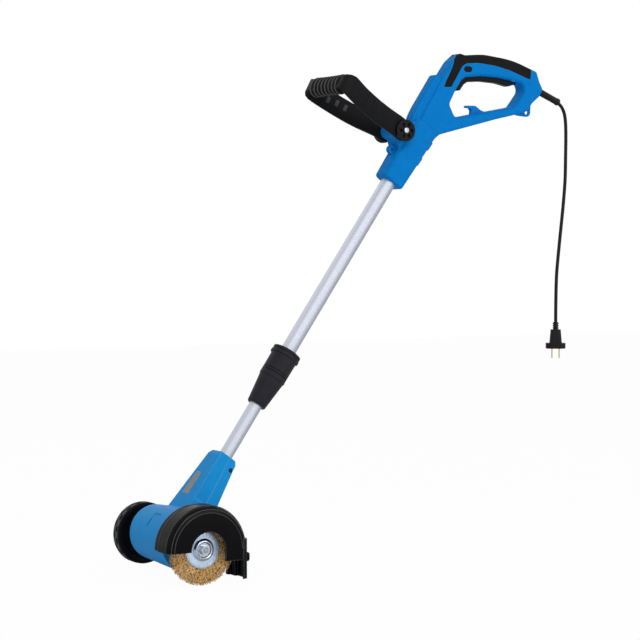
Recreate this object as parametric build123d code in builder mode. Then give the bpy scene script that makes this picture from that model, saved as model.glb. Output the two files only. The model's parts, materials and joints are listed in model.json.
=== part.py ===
from build123d import *
import os
from math import acos, cos, pi, radians, sin, tan

# Electric joint brush: a handle with a D-grip, a telescopic tube and a motor head
# with a wire wheel under a guard on one side and a guide wheel on the other.
# The origin is the centre of the rear grip, +X points along the motor axis to the
# wire wheel, +Y back towards the user and +Z up.

# Pose of the tube and the lengths along it, from the motor axis upwards
lean = 35.2
grip_back = 54.6
neck_top = 158.0
extension_shown = 98.0
sleeve_length = 56.0
clamp_length = 46.0
upper_free = 339.0
socket_drop = 284.0

# Tubes
upper_tube_od = 25.0
lower_tube_od = 21.8
lower_tube_wall = 1.5
tube_gap = 0.3
tube_seat_depth = 98.0
socket_depth = 104.0
tube_overlap = 205.0
guide_length = 22.0
running_gap = 0.05
seat_gap = 0.05

# Handle housing
shell_half = 16.0
shell_wall = 4.2
skin = 2.2
edge_round = 6.0
opening_edge = 7.0
opening_wall = 3.6
strut_top = -56.0
cable_way = 78.0
trunk_width = 38.0
trunk_depth = 43.0
spine_half = 11.0
spine_edge = 4.0
scallop_r = 8.0
scallop_depth = 1.3
screw_r = 2.0
screw_head_r = 3.6
screw_head_h = 3.0
screw_length = 20.0

# Trigger, switch and lock-off button
trigger_half = 6.5
trigger_gap = 0.5
trigger_pivot = (43.0, -17.5)
trigger_pin_r = 3.0
switch_y = -28.0
switch_length = 28.0
switch_bottom = -3.0
switch_height = 17.0
plunger_r = 2.5
button_at = (-56.4, -5.8)
button_length = 16.0
button_height = 9.0
button_proud = 1.8

# Cord, strain relief and plug
cord_d = 6.0
relief_at = (100.0, -33.5)
relief_angle = -22.2
relief_length = 54.0
relief_r = 6.2
relief_bore = 36.0
relief_run = 34.0
plug_turn = 31.0
plug_width = 35.0
plug_depth = 22.0
blade_t = 1.5
blade_w = 6.3
blade_length = 17.0
blade_pitch = 12.7

# Front handle
pivot_drop = 207.0
pivot_front = 40.0
pivot_boss_r = 12.5
pivot_boss_half = 22.0
pivot_bolt_r = 4.0
pivot_cap_r = 18.0
aux_tilt = 6.4
aux_reach = 140.0
aux_width = 34.0
aux_strap = 9.0
aux_half_span = 55.0
aux_grip_length = 76.0
aux_grip_t = 5.5
aux_bar_t = 10.0
aux_bar_h = 24.0
aux_rib_count = 8
aux_rib_w = 4.0

# Motor head, counted along the motor axis from the tube's plane
housing_r = 50.5
housing_rise = 8.5
housing_small_r = 43.5
housing_small_rise = 7.0
housing_wall = 3.0
housing_left = -75.0
housing_right = 54.0
motor_bay_r = 33.0
gear_bay_r = 37.5
neck_base = 24.0
neck_foot = (35.0, -28.5, 27.0)
neck_head = (19.5, -20.8, 18.5)
shaft_r = 4.0
pinion_shaft_r = 2.5
bearing_r = 11.0
bearing_width = 7.0
armature_r = 24.0
armature_length = 44.0
armature_x = -20.0
air_gap = 1.0
commutator_r = 12.0
fan_r = 31.0
fan_blades = 9
gear_module = 1.0
sun_teeth = 12
planet_teeth = 24
ring_teeth = 60
gear_width = 10.0
gear_x = 28.0
backlash = 0.14
planet_pin_r = 2.5
ring_r = 34.8
spindle_r = 6.0
spindle_nose_r = 4.0
output_bearing_r = 14.0
output_bearing_width = 8.0

# Wire wheel, guard and guide wheel
brush_r = 56.0
brush_x = 90.0
brush_width = 10.0
brush_core_r = 26.0
brush_plate_r = 29.0
brush_plate_t = 1.2
wire_size = 0.7
wire_layers = 4
wires_per_layer = 100
guard_r = 69.0
guard_steps = (62.0, 66.0)
guard_step_x = (64.0, 80.0)
guard_wall = 3.0
guard_front = 115.0
guard_skirt = 48.0
guard_skirt_y = 71.0
guard_skirt_top = 14.0
guard_leg = 18.0
guard_arch_r = 29.5
wheel_r = 50.0
wheel_width = 18.0
wheel_x = -112.0
axle_r = 6.0
tread_count = 16
tread_depth = 1.4
tread_pit = 9.0

os.makedirs("parts", exist_ok=True)

su = sin(radians(lean))
cu = cos(radians(lean))
up = Vector(0, su, cu)
back = Vector(0, cu, -su)
reach = neck_top + extension_shown + sleeve_length + clamp_length + upper_free + socket_drop
motor = Vector(0, 0, 0) - up * reach - back * grip_back

# Heights along the tube, all from the motor axis
sleeve_low = neck_top + extension_shown
clamp_low = sleeve_low + sleeve_length
clamp_high = clamp_low + clamp_length
socket_low = clamp_high + upper_free
tube_top = socket_low + socket_depth
upper_tube_low = clamp_low + 10.0
lower_tube_low = neck_top - tube_seat_depth
lower_tube_high = upper_tube_low + tube_overlap


def tube_point(height, behind):
    """Side-view point at a height along the tube, behind its axis."""
    point = motor + up * height + back * behind
    return (point.Y, point.Z)


def tube_plane(height):
    """Plane across the tube: local x along X, local y to the back."""
    return Plane(origin=motor + up * height, x_dir=(1, 0, 0), z_dir=up)


def head_plane(x):
    """Plane across the motor axis: local x along Y, local y along Z."""
    return Plane(origin=motor + Vector(x, 0, 0), x_dir=(0, 1, 0), z_dir=(1, 0, 0))


def involute(angle):
    return tan(angle) - angle


def tooth_outline(teeth, inner, outer, slack):
    """Closed outline of involute teeth between two radii, thinned by the slack."""
    pitch_r = gear_module * teeth / 2
    base_r = pitch_r * cos(radians(20))
    points = []
    for tooth in range(teeth):
        centre = 2 * pi * tooth / teeth
        flank = []
        for share in (0.0, 0.5, 1.0):
            r = inner + (outer - inner) * share
            roll = acos(min(1.0, base_r / max(r, base_r)))
            half = pi / (2 * teeth) + involute(radians(20)) - involute(roll) - slack / (2 * r)
            flank.append((r, half))
        for r, half in flank:
            points.append((r * cos(centre - half), r * sin(centre - half)))
        for r, half in reversed(flank):
            points.append((r * cos(centre + half), r * sin(centre + half)))
    return points


tube_side = Plane(origin=motor, x_dir=(1, 0, 0), z_dir=back * -1)
tube_axis = Axis(motor, up)
head_side = Plane(origin=motor, x_dir=(1, 0, 0), z_dir=(0, -1, 0))
head_axis = Axis(motor, (1, 0, 0))

# Side outline of the D-shaped handle, from the trunk over the grip to the strut
body_points = [
    tube_point(reach - 195, -16), tube_point(reach - 76, -21), (-87, 7), (-70, 20.6), (-60, 18),
    (-22, 21.2), (40, 14.5), (92.5, -3.5), (99, -21), (106.5, -34), (98, -47), (84, -58), (72, -73),
    (54, -78), (6, -88.5), (-112, -118), tube_point(reach - 195, 20),
]
body_radii = [9, 14, 30, 4, 12, 120, 200, 6, 30, 7, 8, 10, 8, 15, 60, 20, 9]
opening_points = [
    (-92.5, -66.5), (-80.5, -88.5), (12, -71.5), (44, -65.5), (66, -38), (62, -26), (36, -20.5),
    (10, -17), (-24, -16), (-58, -19), (-68, -26), (-80.5, -44.5),
]
opening_radii = [9, 9, 40, 10, 12, 9, 60, 60, 60, 8, 8, 10]

# Outer form of the D-handle, rounded all round
with BuildPart() as grip_form:
    with BuildSketch(Plane.YZ):
        with BuildLine():
            FilletPolyline(*body_points, radius=body_radii, close=True)
        make_face()
    extrude(amount=shell_half, both=True)
    fillet(grip_form.faces().filter_by(Axis.X).edges(), edge_round)
    with BuildSketch(Plane.YZ):
        with BuildLine():
            FilletPolyline(*opening_points, radius=opening_radii, close=True)
        make_face()
    extrude(amount=shell_half + 1, both=True, mode=Mode.SUBTRACT)
    rims = [face.inner_wires()[0].edges() for face in grip_form.faces().filter_by(Axis.X)]
    fillet(rims[0] + rims[1], opening_edge)

# Core that the soft grip lies on
with BuildPart() as grip_core:
    with BuildSketch(Plane.YZ):
        with BuildLine():
            FilletPolyline(*body_points, radius=body_radii, close=True)
        make_face()
        offset(amount=-skin)
    extrude(amount=shell_half - skin, both=True)
    fillet(grip_core.faces().filter_by(Axis.X).edges(), edge_round - skin)

# Hollow inside the grip for the switch and the wiring, above the solid strut
with BuildPart() as grip_cavity:
    with BuildSketch(Plane.YZ):
        with BuildLine():
            FilletPolyline(*body_points, radius=body_radii, close=True)
        make_face()
        offset(amount=-shell_wall)
        with BuildSketch(mode=Mode.PRIVATE) as opening_grown:
            with BuildLine():
                FilletPolyline(*opening_points, radius=opening_radii, close=True)
            make_face()
            offset(amount=opening_wall)
        add(opening_grown.sketch, mode=Mode.SUBTRACT)
        with Locations((0, strut_top)):
            Rectangle(2 * reach, reach, align=(Align.CENTER, Align.MAX), mode=Mode.SUBTRACT)
    extrude(amount=shell_half - shell_wall, both=True)

# Soft grip: a skin over the top of the grip that runs down the front of it
grip_region = [
    (-76, 40), (-79.5, 19), (-91.5, -9.5), (-108, -38), (-91, -37.5), (-76, -14), (-68, -1), (-59, 4),
    (-33, 5.5), (0, 2.5), (32, -4), (76.5, -18.5), (82, 40),
]
with BuildPart() as soft_grip:
    with BuildSketch(Plane.YZ):
        with BuildLine():
            FilletPolyline(*grip_region, radius=[0, 40, 200, 2, 2, 60, 9, 9, 60, 90, 90, 2, 0], close=True)
        make_face()
    extrude(amount=shell_half + 4, both=True)
    add(grip_form.part, mode=Mode.INTERSECT)
    add(grip_core.part, mode=Mode.SUBTRACT)
soft_grip.part.label = "soft_grip"
export_step(soft_grip.part, "parts/soft_grip.step")

# Whole handle housing before it is parted along the middle plane
pivot_at = tube_point(reach - pivot_drop, -pivot_front)
lug_up = reach - 235.5
lug_front = 27.5
lug_at = tube_point(lug_up, -lug_front)
eye_at = (79.0, -73.5)
eye_r = 4.2
eye_half = 2.0
lug_r = 3.0
lug_wall = 4.0
screw_places = [
    tube_point(reach - 160, 17), tube_point(reach - 112, -10), (86, -16), (66, -69), (-30, -89),
]
relief_dir = Vector(0, cos(radians(relief_angle)), sin(radians(relief_angle)))
relief_plane = Plane(origin=(0, *relief_at), x_dir=(1, 0, 0), z_dir=relief_dir)
relief_side = Plane(origin=(0, *relief_at), x_dir=(1, 0, 0), z_dir=(0, -relief_dir.Z, relief_dir.Y))
relief_axis = Axis((0, *relief_at), relief_dir)
inner_half = shell_half - shell_wall

# Raised spine along the front of the trunk, rounded on its edges
with BuildPart() as spine:
    with BuildSketch(Plane.YZ):
        with BuildLine():
            FilletPolyline(
                tube_point(reach - 196, -20), tube_point(reach - 168, -30.2), tube_point(reach - 150, -31.8),
                tube_point(reach - 83, -32.5), tube_point(reach - 79, -28), tube_point(reach - 77, -8),
                tube_point(reach - 196, -6), radius=[5, 60, 60, 3, 3, 4, 4], close=True,
            )
        make_face()
    extrude(amount=spine_half, both=True)
    fillet(spine.faces().filter_by(Axis.X).edges(), spine_edge)

trunk_top = reach - 168.0
trunk_grow = 10.0
scallop_drops = (205.5, 221.0, 234.6)
with BuildPart() as housing:
    add(grip_form.part)
    # Trunk round the tube, with finger scallops down its back
    with BuildSketch(tube_plane(socket_low)):
        RectangleRounded(trunk_width, trunk_depth, 9)
    with BuildSketch(tube_plane(trunk_top)):
        with Locations((0, 1)):
            RectangleRounded(trunk_width + 2, trunk_depth + trunk_grow, 12)
    loft()
    fillet(housing.faces().sort_by(tube_axis)[0].edges(), 5)
    with BuildSketch(Plane.YZ):
        for drop in scallop_drops:
            share = (reach - drop - socket_low) / (trunk_top - socket_low)
            trunk_rear = trunk_depth / 2 + share * (trunk_grow / 2 + 1)
            with Locations(tube_point(reach - drop, trunk_rear + scallop_r - scallop_depth)):
                Circle(scallop_r)
    extrude(amount=trunk_width, both=True, mode=Mode.SUBTRACT)
    add(spine.part)
    # Cross boss of the front handle's pivot and the web that carries it
    with BuildSketch(Plane.YZ):
        with BuildLine():
            FilletPolyline(
                tube_point(reach - 236, -15), tube_point(reach - 222, -34), tube_point(reach - 212, -51),
                tube_point(reach - 198, -50), tube_point(reach - 168, -15),
                radius=[1, 4, 9, 9, 1], close=True,
            )
        make_face()
    extrude(amount=15, both=True)
    with BuildSketch(Plane.YZ):
        with Locations(pivot_at):
            Circle(pivot_boss_r)
    extrude(amount=pivot_boss_half, both=True)
    # Strap lug in front, hanging eye behind and cord hook inside the opening
    with BuildSketch(Plane.YZ):
        with Locations(lug_at):
            Circle(lug_r + lug_wall)
        with BuildLine():
            Polyline(
                tube_point(lug_up - lug_r - lug_wall, -lug_front),
                tube_point(lug_up + lug_r + lug_wall, -lug_front),
                tube_point(lug_up + lug_r + lug_wall, 0),
                tube_point(lug_up - lug_r - lug_wall, 0), close=True,
            )
        make_face()
        with BuildLine():
            FilletPolyline(
                (-42, -90), (-40.8, -81), (-39.8, -75), (-42.5, -70.6), (-50, -70.2), (-52, -68.4),
                (-50, -66.4), (-32, -66.4), (-22, -73), (-13, -76), (-12, -88),
                radius=[0, 3, 3, 3, 1.2, 1, 1.4, 6, 4, 0, 0], close=True,
            )
        make_face()
    extrude(amount=4, both=True)
    with BuildSketch(Plane.YZ):
        with BuildLine():
            FilletPolyline(
                (88, -54), (eye_at[0] + 7.5, eye_at[1] - 8.5), (50, -79), (58, -66), (80, -54),
                radius=[1, 8, 6, 1, 1], close=True,
            )
        make_face()
    extrude(amount=eye_half, both=True)
    # Seat of the soft grip and the hollow inside
    add(soft_grip.part, mode=Mode.SUBTRACT)
    add(grip_cavity.part, mode=Mode.SUBTRACT)
    # Screw bosses and trigger pivot bosses stand in the hollow
    with BuildSketch(Plane.YZ):
        with Locations(*screw_places):
            Circle(screw_head_r + 1.4)
    extrude(amount=inner_half + 0.5, both=True)
    for side in (1, -1):
        with BuildSketch(Plane.YZ.offset(side * (trigger_half + trigger_gap))):
            with Locations(trigger_pivot):
                Circle(trigger_pin_r + 2.2)
        extrude(amount=side * (inner_half - trigger_half))
    # Tube socket, cable way and pivot bore
    with BuildSketch(tube_plane(socket_low - 1)):
        Circle(upper_tube_od / 2 + seat_gap)
    extrude(amount=socket_depth + 1, mode=Mode.SUBTRACT)
    with BuildSketch(tube_plane(tube_top - 1)):
        Circle(upper_tube_od / 2 - 4)
    extrude(amount=cable_way, mode=Mode.SUBTRACT)
    with BuildSketch(Plane.YZ):
        with Locations(pivot_at):
            Circle(pivot_bolt_r + running_gap)
        with Locations(lug_at):
            Circle(lug_r)
        with Locations(eye_at):
            Circle(eye_r)
    extrude(amount=shell_half * 2, both=True, mode=Mode.SUBTRACT)
    # Slot of the trigger and blind holes of its pin
    with BuildSketch(Plane.YZ):
        with BuildLine():
            Polyline((57, -34), (-70, -47), (-84, -40), (-70, -9), (-50, -6), (57, -9), close=True)
        make_face()
    extrude(amount=trigger_half + trigger_gap, both=True, mode=Mode.SUBTRACT)
    with BuildSketch(Plane.YZ):
        with Locations(trigger_pivot):
            Circle(trigger_pin_r + running_gap)
    extrude(amount=inner_half - 0.5, both=True, mode=Mode.SUBTRACT)
    # Opening of the lock-off button on the near side
    with BuildSketch(Plane.YZ.offset(inner_half - 1)):
        with Locations(button_at):
            SlotOverall(button_length + 2 * tube_gap, button_height + 2 * tube_gap)
    extrude(amount=shell_wall + 2, mode=Mode.SUBTRACT)
    # Way of the strain relief and screw holes from the far side
    with BuildSketch(relief_plane.offset(-12)):
        Circle(relief_r + seat_gap)
    extrude(amount=20, mode=Mode.SUBTRACT)
    with BuildSketch(Plane.YZ.offset(screw_length - inner_half)):
        with Locations(*screw_places):
            Circle(screw_r + seat_gap)
    extrude(amount=-screw_length, mode=Mode.SUBTRACT)
    with BuildSketch(Plane.YZ.offset(-inner_half)):
        with Locations(*screw_places):
            Circle(screw_head_r + seat_gap)
    extrude(amount=-shell_half, mode=Mode.SUBTRACT)

with BuildPart() as handle_shell_left:
    add(housing.part)
    split(bisect_by=Plane.YZ, keep=Keep.TOP)
handle_shell_left.part.label = "handle_shell_left"
export_step(handle_shell_left.part, "parts/handle_shell_left.step")

with BuildPart() as handle_shell_right:
    add(housing.part)
    split(bisect_by=Plane.YZ, keep=Keep.BOTTOM)
handle_shell_right.part.label = "handle_shell_right"
export_step(handle_shell_right.part, "parts/handle_shell_right.step")

# Screws that hold the two shells together, driven from the far side
with BuildPart() as shell_screws:
    with BuildSketch(Plane.YZ.offset(-inner_half)):
        with Locations(*screw_places):
            Circle(screw_head_r)
    extrude(amount=-screw_head_h)
    with BuildSketch(Plane.YZ.offset(-inner_half)):
        with Locations(*screw_places):
            Circle(screw_r)
    extrude(amount=screw_length - 0.5)
shell_screws.part.label = "shell_screws"
export_step(shell_screws.part, "parts/shell_screws.step")

# Trigger: a long curved lever with its pivot pin at the rear end
with BuildPart() as trigger:
    with BuildSketch(Plane.YZ):
        with BuildLine():
            FilletPolyline(
                (53, -26.5), (44, -28.5), (36.5, -30.8), (12, -26), (-20, -24.3), (-50, -26.3),
                (-58, -31), (-66, -41.5), (-73, -42.5), (-75.5, -38), (-66, -20), (-56, -13.5), (-20, -11),
                (20, -12.5), (50, -12.5),
                radius=[3, 6, 6, 30, 60, 8, 12, 3, 1.5, 2, 6, 8, 60, 60, 3], close=True,
            )
        make_face()
    extrude(amount=trigger_half, both=True)
    fillet(trigger.faces().sort_by(Axis.X)[0].edges(), 1.5)
    fillet(trigger.faces().sort_by(Axis.X)[-1].edges(), 1.5)
    with BuildSketch(Plane.YZ):
        with Locations(trigger_pivot):
            Circle(trigger_pin_r)
    extrude(amount=inner_half - 1, both=True)
trigger.part.label = "trigger"
export_step(trigger.part, "parts/trigger.step")

# Switch block held between the shells, with a plunger that the trigger lifts
with BuildPart() as switch_body:
    with BuildSketch(Plane.YZ):
        with Locations((switch_y, switch_bottom + switch_height / 2)):
            RectangleRounded(switch_length, switch_height, 1.5)
    extrude(amount=inner_half - seat_gap, both=True)
    with BuildSketch(Plane.XY.offset(switch_bottom)):
        with Locations((0, switch_y)):
            Circle(plunger_r + running_gap)
    extrude(amount=switch_height - 4, mode=Mode.SUBTRACT)
switch_body.part.label = "switch_body"
export_step(switch_body.part, "parts/switch_body.step")

with BuildPart() as switch_plunger:
    with BuildSketch(Plane.XY.offset(-10.9)):
        with Locations((0, switch_y)):
            Circle(plunger_r)
    extrude(amount=14)
    fillet(switch_plunger.faces().sort_by(Axis.Z)[0].edges(), 1.2)
switch_plunger.part.label = "switch_plunger"
export_step(switch_plunger.part, "parts/switch_plunger.step")

# Lock-off button with a flange behind the shell wall
with BuildPart() as lock_off_button:
    with BuildSketch(Plane.YZ.offset(inner_half - 2)):
        with Locations(button_at):
            SlotOverall(button_length + 4, button_height + 4)
    extrude(amount=2 - 0.1)
    with BuildSketch(Plane.YZ.offset(inner_half - 2)):
        with Locations(button_at):
            SlotOverall(button_length, button_height)
    extrude(amount=shell_wall + 2 + button_proud)
    fillet(lock_off_button.faces().sort_by(Axis.X)[-1].edges(), 1.2)
lock_off_button.part.label = "lock_off_button"
export_step(lock_off_button.part, "parts/lock_off_button.step")

# Strain relief: a ribbed sleeve with a flange behind the rear wall
with BuildPart() as strain_relief:
    with BuildSketch(relief_side):
        with BuildLine():
            Polyline(
                (0, -11), (relief_r + 1.8, -11), (relief_r + 1.8, -8.5), (relief_r, -8.5), (relief_r, 4),
                (relief_r - 0.5, relief_length - 6), (relief_r + 0.3, relief_length - 4),
                (relief_r + 0.3, relief_length), (cord_d / 2 + seat_gap, relief_length),
                (cord_d / 2 + seat_gap, relief_bore), (0, relief_bore), close=True,
            )
        make_face()
    revolve(axis=relief_axis)
strain_relief.part.label = "strain_relief"
export_step(strain_relief.part, "parts/strain_relief.step")

# Mains cord: out of the sleeve, over its own weight and down to the plug
relief_tip = Vector(0, *relief_at) + relief_dir * (relief_bore + relief_run)
cord_start = Vector(0, *relief_at) + relief_dir * relief_bore
cord_points = [
    (cord_start.Y, cord_start.Z), (relief_tip.Y, relief_tip.Z), (167.4, -138.0), (167.2, -203.0),
    (151.5, -325.0), (147.0, -372.0), (147.0, -441.0),
]
cord_radii = []
for before, here, after in zip(cord_points, cord_points[1:], cord_points[2:]):
    run_in = Vector(*here) - Vector(*before)
    run_out = Vector(*after) - Vector(*here)
    turn = run_in.get_angle(run_out)
    cord_radii.append(0.45 * min(run_in.length, run_out.length) / tan(radians(turn) / 2))
with BuildPart() as mains_cord:
    with BuildLine(Plane.YZ) as cord_path:
        FilletPolyline(*cord_points, radius=cord_radii)
    with BuildSketch(Plane(origin=cord_start, z_dir=relief_dir)):
        Circle(cord_d / 2)
    sweep(path=cord_path.wires()[0])
mains_cord.part.label = "mains_cord"
export_step(mains_cord.part, "parts/mains_cord.step")
cord_length = cord_path.wires()[0].length
print("cord radii", [round(r, 1) for r in cord_radii], "length", round(cord_length, 1))
print("cord volume ratio", round(mains_cord.part.volume / (pi * cord_d ** 2 / 4 * cord_length), 4))

# Plug with a ribbed neck, a tapered body and a flange
plug_dir = Vector(sin(radians(plug_turn)), cos(radians(plug_turn)), 0)


def plug_plane(depth):
    end_y, end_z = cord_points[-1]
    return Plane(origin=(0, end_y, end_z - depth), x_dir=plug_dir, z_dir=(0, 0, -1))


with BuildPart() as plug_body:
    with BuildSketch(plug_plane(0)):
        Circle(cord_d / 2 + 1.2)
    extrude(amount=14)
    for rib in range(3):
        with BuildSketch(plug_plane(1.5 + 4 * rib)):
            Circle(cord_d / 2 + 2.4)
        extrude(amount=2)
    with BuildSketch(plug_plane(13)):
        RectangleRounded(plug_width / 2, plug_depth / 2 + 2, 4)
    with BuildSketch(plug_plane(38)):
        RectangleRounded(plug_width / 2 + 4, plug_depth / 2 + 5, 4)
    loft()
    with BuildSketch(plug_plane(37)):
        RectangleRounded(plug_width, plug_depth, plug_depth / 2 - 1)
    extrude(amount=10)
    fillet(plug_body.faces().sort_by(Axis.Z)[0].edges(), 2)
plug_body.part.label = "plug_body"
export_step(plug_body.part, "parts/plug_body.step")

with BuildPart() as plug_blades:
    with BuildSketch(plug_plane(47)):
        with Locations((-blade_pitch / 2, 0), (blade_pitch / 2, 0)):
            Rectangle(blade_t, blade_w)
    extrude(amount=blade_length)
plug_blades.part.label = "plug_blades"
export_step(plug_blades.part, "parts/plug_blades.step")

# Front handle: a strap bent into a loop, turned a little down about its pivot
aux_dir = (back * -1).rotate(Axis((0, 0, 0), (1, 0, 0)), aux_tilt)
pivot_centre = Vector(0, *pivot_at)
aux_plane = Plane(origin=pivot_centre, x_dir=(1, 0, 0), z_dir=aux_dir.cross(Vector(1, 0, 0)) * -1)
bar_in = aux_reach - 3.0
bar_out = bar_in + aux_bar_t
bar_centre = pivot_centre + aux_dir * (bar_in + aux_bar_t / 2)
bar_plane = Plane(origin=bar_centre, x_dir=aux_dir, z_dir=(1, 0, 0))
strap_in = pivot_boss_half + tube_gap
strap_out = strap_in + aux_strap
loop_outer = [
    (strap_out, -aux_width / 2), (strap_out, 24), (aux_half_span, bar_out - 13),
    (aux_half_span - 9, bar_out),
    (9 - aux_half_span, bar_out), (-aux_half_span, bar_out - 13), (-strap_out, 24),
    (-strap_out, -aux_width / 2),
]
loop_inner = [
    (-strap_in, -aux_width / 2), (-strap_in, 26), (aux_strap - aux_half_span, bar_in - 6),
    (aux_strap + 5 - aux_half_span, bar_in), (aux_half_span - aux_strap - 5, bar_in),
    (aux_half_span - aux_strap, bar_in - 6), (strap_in, 26), (strap_in, -aux_width / 2),
]
with BuildPart() as aux_handle:
    with BuildSketch(aux_plane):
        with BuildLine():
            FilletPolyline(
                *loop_outer, *loop_inner,
                radius=[0, 40, 9, 8, 8, 9, 40, 0, 0, 40, 5, 3, 3, 5, 40, 0], close=True,
            )
        make_face()
    extrude(amount=aux_width / 2, both=True)
    with BuildSketch(Plane.YZ):
        with BuildLine():
            tip = pivot_centre + aux_dir * (aux_reach + 20)
            side = aux_plane.z_dir * (aux_width / 2)
            Polyline(
                tuple(pivot_centre + side)[1:], tuple(tip + side * 0.86)[1:],
                tuple(tip - side * 0.86)[1:], tuple(pivot_centre - side)[1:], close=True,
            )
        make_face()
        with Locations(pivot_at):
            Circle(aux_width / 2)
    extrude(amount=aux_half_span + 10, both=True, mode=Mode.INTERSECT)
    with BuildSketch(bar_plane):
        Rectangle(3 * aux_bar_t, 2 * aux_width)
        Rectangle(3 * aux_bar_t, aux_bar_h, mode=Mode.SUBTRACT)
    extrude(amount=aux_grip_length / 2 + tube_gap, both=True, mode=Mode.SUBTRACT)
    with BuildSketch(Plane.YZ):
        with Locations(pivot_at):
            Circle(pivot_bolt_r + running_gap)
    extrude(amount=strap_out + 2, both=True, mode=Mode.SUBTRACT)
aux_handle.part.label = "aux_handle"
export_step(aux_handle.part, "parts/aux_handle.step")

# Ribbed sleeve round the cross bar of the front handle
sleeve_t = aux_bar_t + 2 * seat_gap
sleeve_h = aux_bar_h + 2 * seat_gap
rib_height = 1.5
with BuildPart() as aux_grip:
    with BuildSketch(bar_plane):
        RectangleRounded(sleeve_t + 2 * aux_grip_t, sleeve_h + aux_grip_t, 9)
    extrude(amount=aux_grip_length / 2, both=True)
    for rib in range(aux_rib_count):
        step = (aux_grip_length - aux_rib_w) / (aux_rib_count - 1)
        with BuildSketch(bar_plane.offset(-aux_grip_length / 2 + rib * step)):
            RectangleRounded(
                sleeve_t + 2 * (aux_grip_t + rib_height), sleeve_h + aux_grip_t + 2 * rib_height, 10,
            )
        extrude(amount=aux_rib_w)
    with BuildSketch(bar_plane):
        Rectangle(sleeve_t, sleeve_h)
    extrude(amount=aux_grip_length, both=True, mode=Mode.SUBTRACT)
aux_grip.part.label = "aux_grip"
export_step(aux_grip.part, "parts/aux_grip.step")

# Pivot bolt right through the boss and two ribbed caps on the strap's round ends
with BuildPart() as pivot_bolt:
    with BuildSketch(Plane.YZ):
        with Locations(pivot_at):
            Circle(pivot_bolt_r)
    extrude(amount=strap_out + 6, both=True)
    with BuildSketch(Plane.YZ.offset(strap_out + 5)):
        with Locations(pivot_at):
            Circle(pivot_bolt_r + 0.6)
    extrude(amount=2)
pivot_bolt.part.label = "pivot_bolt"
export_step(pivot_bolt.part, "parts/pivot_bolt.step")

with BuildPart() as pivot_caps:
    for side in (1, -1):
        with BuildSketch(Plane.YZ.offset(side * strap_out)):
            with Locations(pivot_at):
                Circle(pivot_cap_r)
                Circle(pivot_bolt_r + seat_gap, mode=Mode.SUBTRACT)
        extrude(amount=side * 5)
        with BuildSketch(Plane.YZ.offset(side * (strap_out + 2))):
            with Locations(pivot_at):
                with PolarLocations(10.5, 6):
                    Rectangle(6, 5.5)
        extrude(amount=side * 4, mode=Mode.SUBTRACT)
pivot_caps.part.label = "pivot_caps"
export_step(pivot_caps.part, "parts/pivot_caps.step")

# Telescopic tubes
upper_tube_id = lower_tube_od + 2 * tube_gap
with BuildPart() as upper_tube:
    with BuildSketch(tube_plane(upper_tube_low)):
        Circle(upper_tube_od / 2)
        Circle(upper_tube_id / 2, mode=Mode.SUBTRACT)
    extrude(amount=tube_top - upper_tube_low)
upper_tube.part.label = "upper_tube"
export_step(upper_tube.part, "parts/upper_tube.step")

with BuildPart() as lower_tube:
    with BuildSketch(tube_plane(lower_tube_low)):
        Circle(lower_tube_od / 2)
        Circle(lower_tube_od / 2 - lower_tube_wall, mode=Mode.SUBTRACT)
    extrude(amount=lower_tube_high - lower_tube_low)
lower_tube.part.label = "lower_tube"
export_step(lower_tube.part, "parts/lower_tube.step")

# Guide bush on the upper end of the lower tube
with BuildPart() as tube_guide:
    with BuildSketch(tube_plane(lower_tube_high)):
        Circle(upper_tube_id / 2 - running_gap)
        Circle(lower_tube_od / 2 - lower_tube_wall - 2, mode=Mode.SUBTRACT)
    extrude(amount=guide_length)
    with BuildSketch(tube_plane(lower_tube_high)):
        Circle(lower_tube_od / 2 - lower_tube_wall - seat_gap)
        Circle(lower_tube_od / 2 - lower_tube_wall - 2, mode=Mode.SUBTRACT)
    extrude(amount=-guide_length)
tube_guide.part.label = "tube_guide"
export_step(tube_guide.part, "parts/tube_guide.step")

# Clamp on the end of the upper tube: two flanges, the top one notched all round
collet_r = 15.0
collet_low = sleeve_low + 24.0
clamp_r = 22.0
with BuildPart() as clamp_body:
    with BuildSketch(tube_side):
        with BuildLine():
            Polyline(
                (collet_r + seat_gap, clamp_low), (clamp_r, clamp_low), (clamp_r + 0.5, clamp_high - 13),
                (clamp_r + 3, clamp_high - 11), (clamp_r + 3, clamp_high - 7),
                (clamp_r + 0.5, clamp_high - 6.5),
                (clamp_r + 0.5, clamp_high - 4), (clamp_r + 2.2, clamp_high - 3.6),
                (clamp_r + 2.2, clamp_high - 0.5),
                (clamp_r + 1.5, clamp_high), (upper_tube_od / 2 + seat_gap, clamp_high),
                (upper_tube_od / 2 + seat_gap, upper_tube_low),
                (collet_r + seat_gap, upper_tube_low), close=True,
            )
        make_face()
    revolve(axis=tube_axis)
    with BuildSketch(tube_plane(clamp_high + 1)):
        with PolarLocations(clamp_r + 2.6, 32):
            Circle(1.1)
    extrude(amount=-4.8, mode=Mode.SUBTRACT)
clamp_body.part.label = "clamp_body"
export_step(clamp_body.part, "parts/clamp_body.step")

# Slit collet that grips the lower tube inside the twist sleeve
with BuildPart() as clamp_collet:
    with BuildSketch(tube_side):
        with BuildLine():
            Polyline(
                (lower_tube_od / 2 + tube_gap, collet_low), (collet_r - 2.2, collet_low),
                (collet_r, collet_low + 8),
                (collet_r, upper_tube_low), (lower_tube_od / 2 + tube_gap, upper_tube_low), close=True,
            )
        make_face()
    revolve(axis=tube_axis)
    with BuildSketch(tube_plane(collet_low - 1)):
        Rectangle(2 * collet_r + 2, 1.6)
        Rectangle(1.6, 2 * collet_r + 2)
    extrude(amount=25, mode=Mode.SUBTRACT)
clamp_collet.part.label = "clamp_collet"
export_step(clamp_collet.part, "parts/clamp_collet.step")

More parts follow.
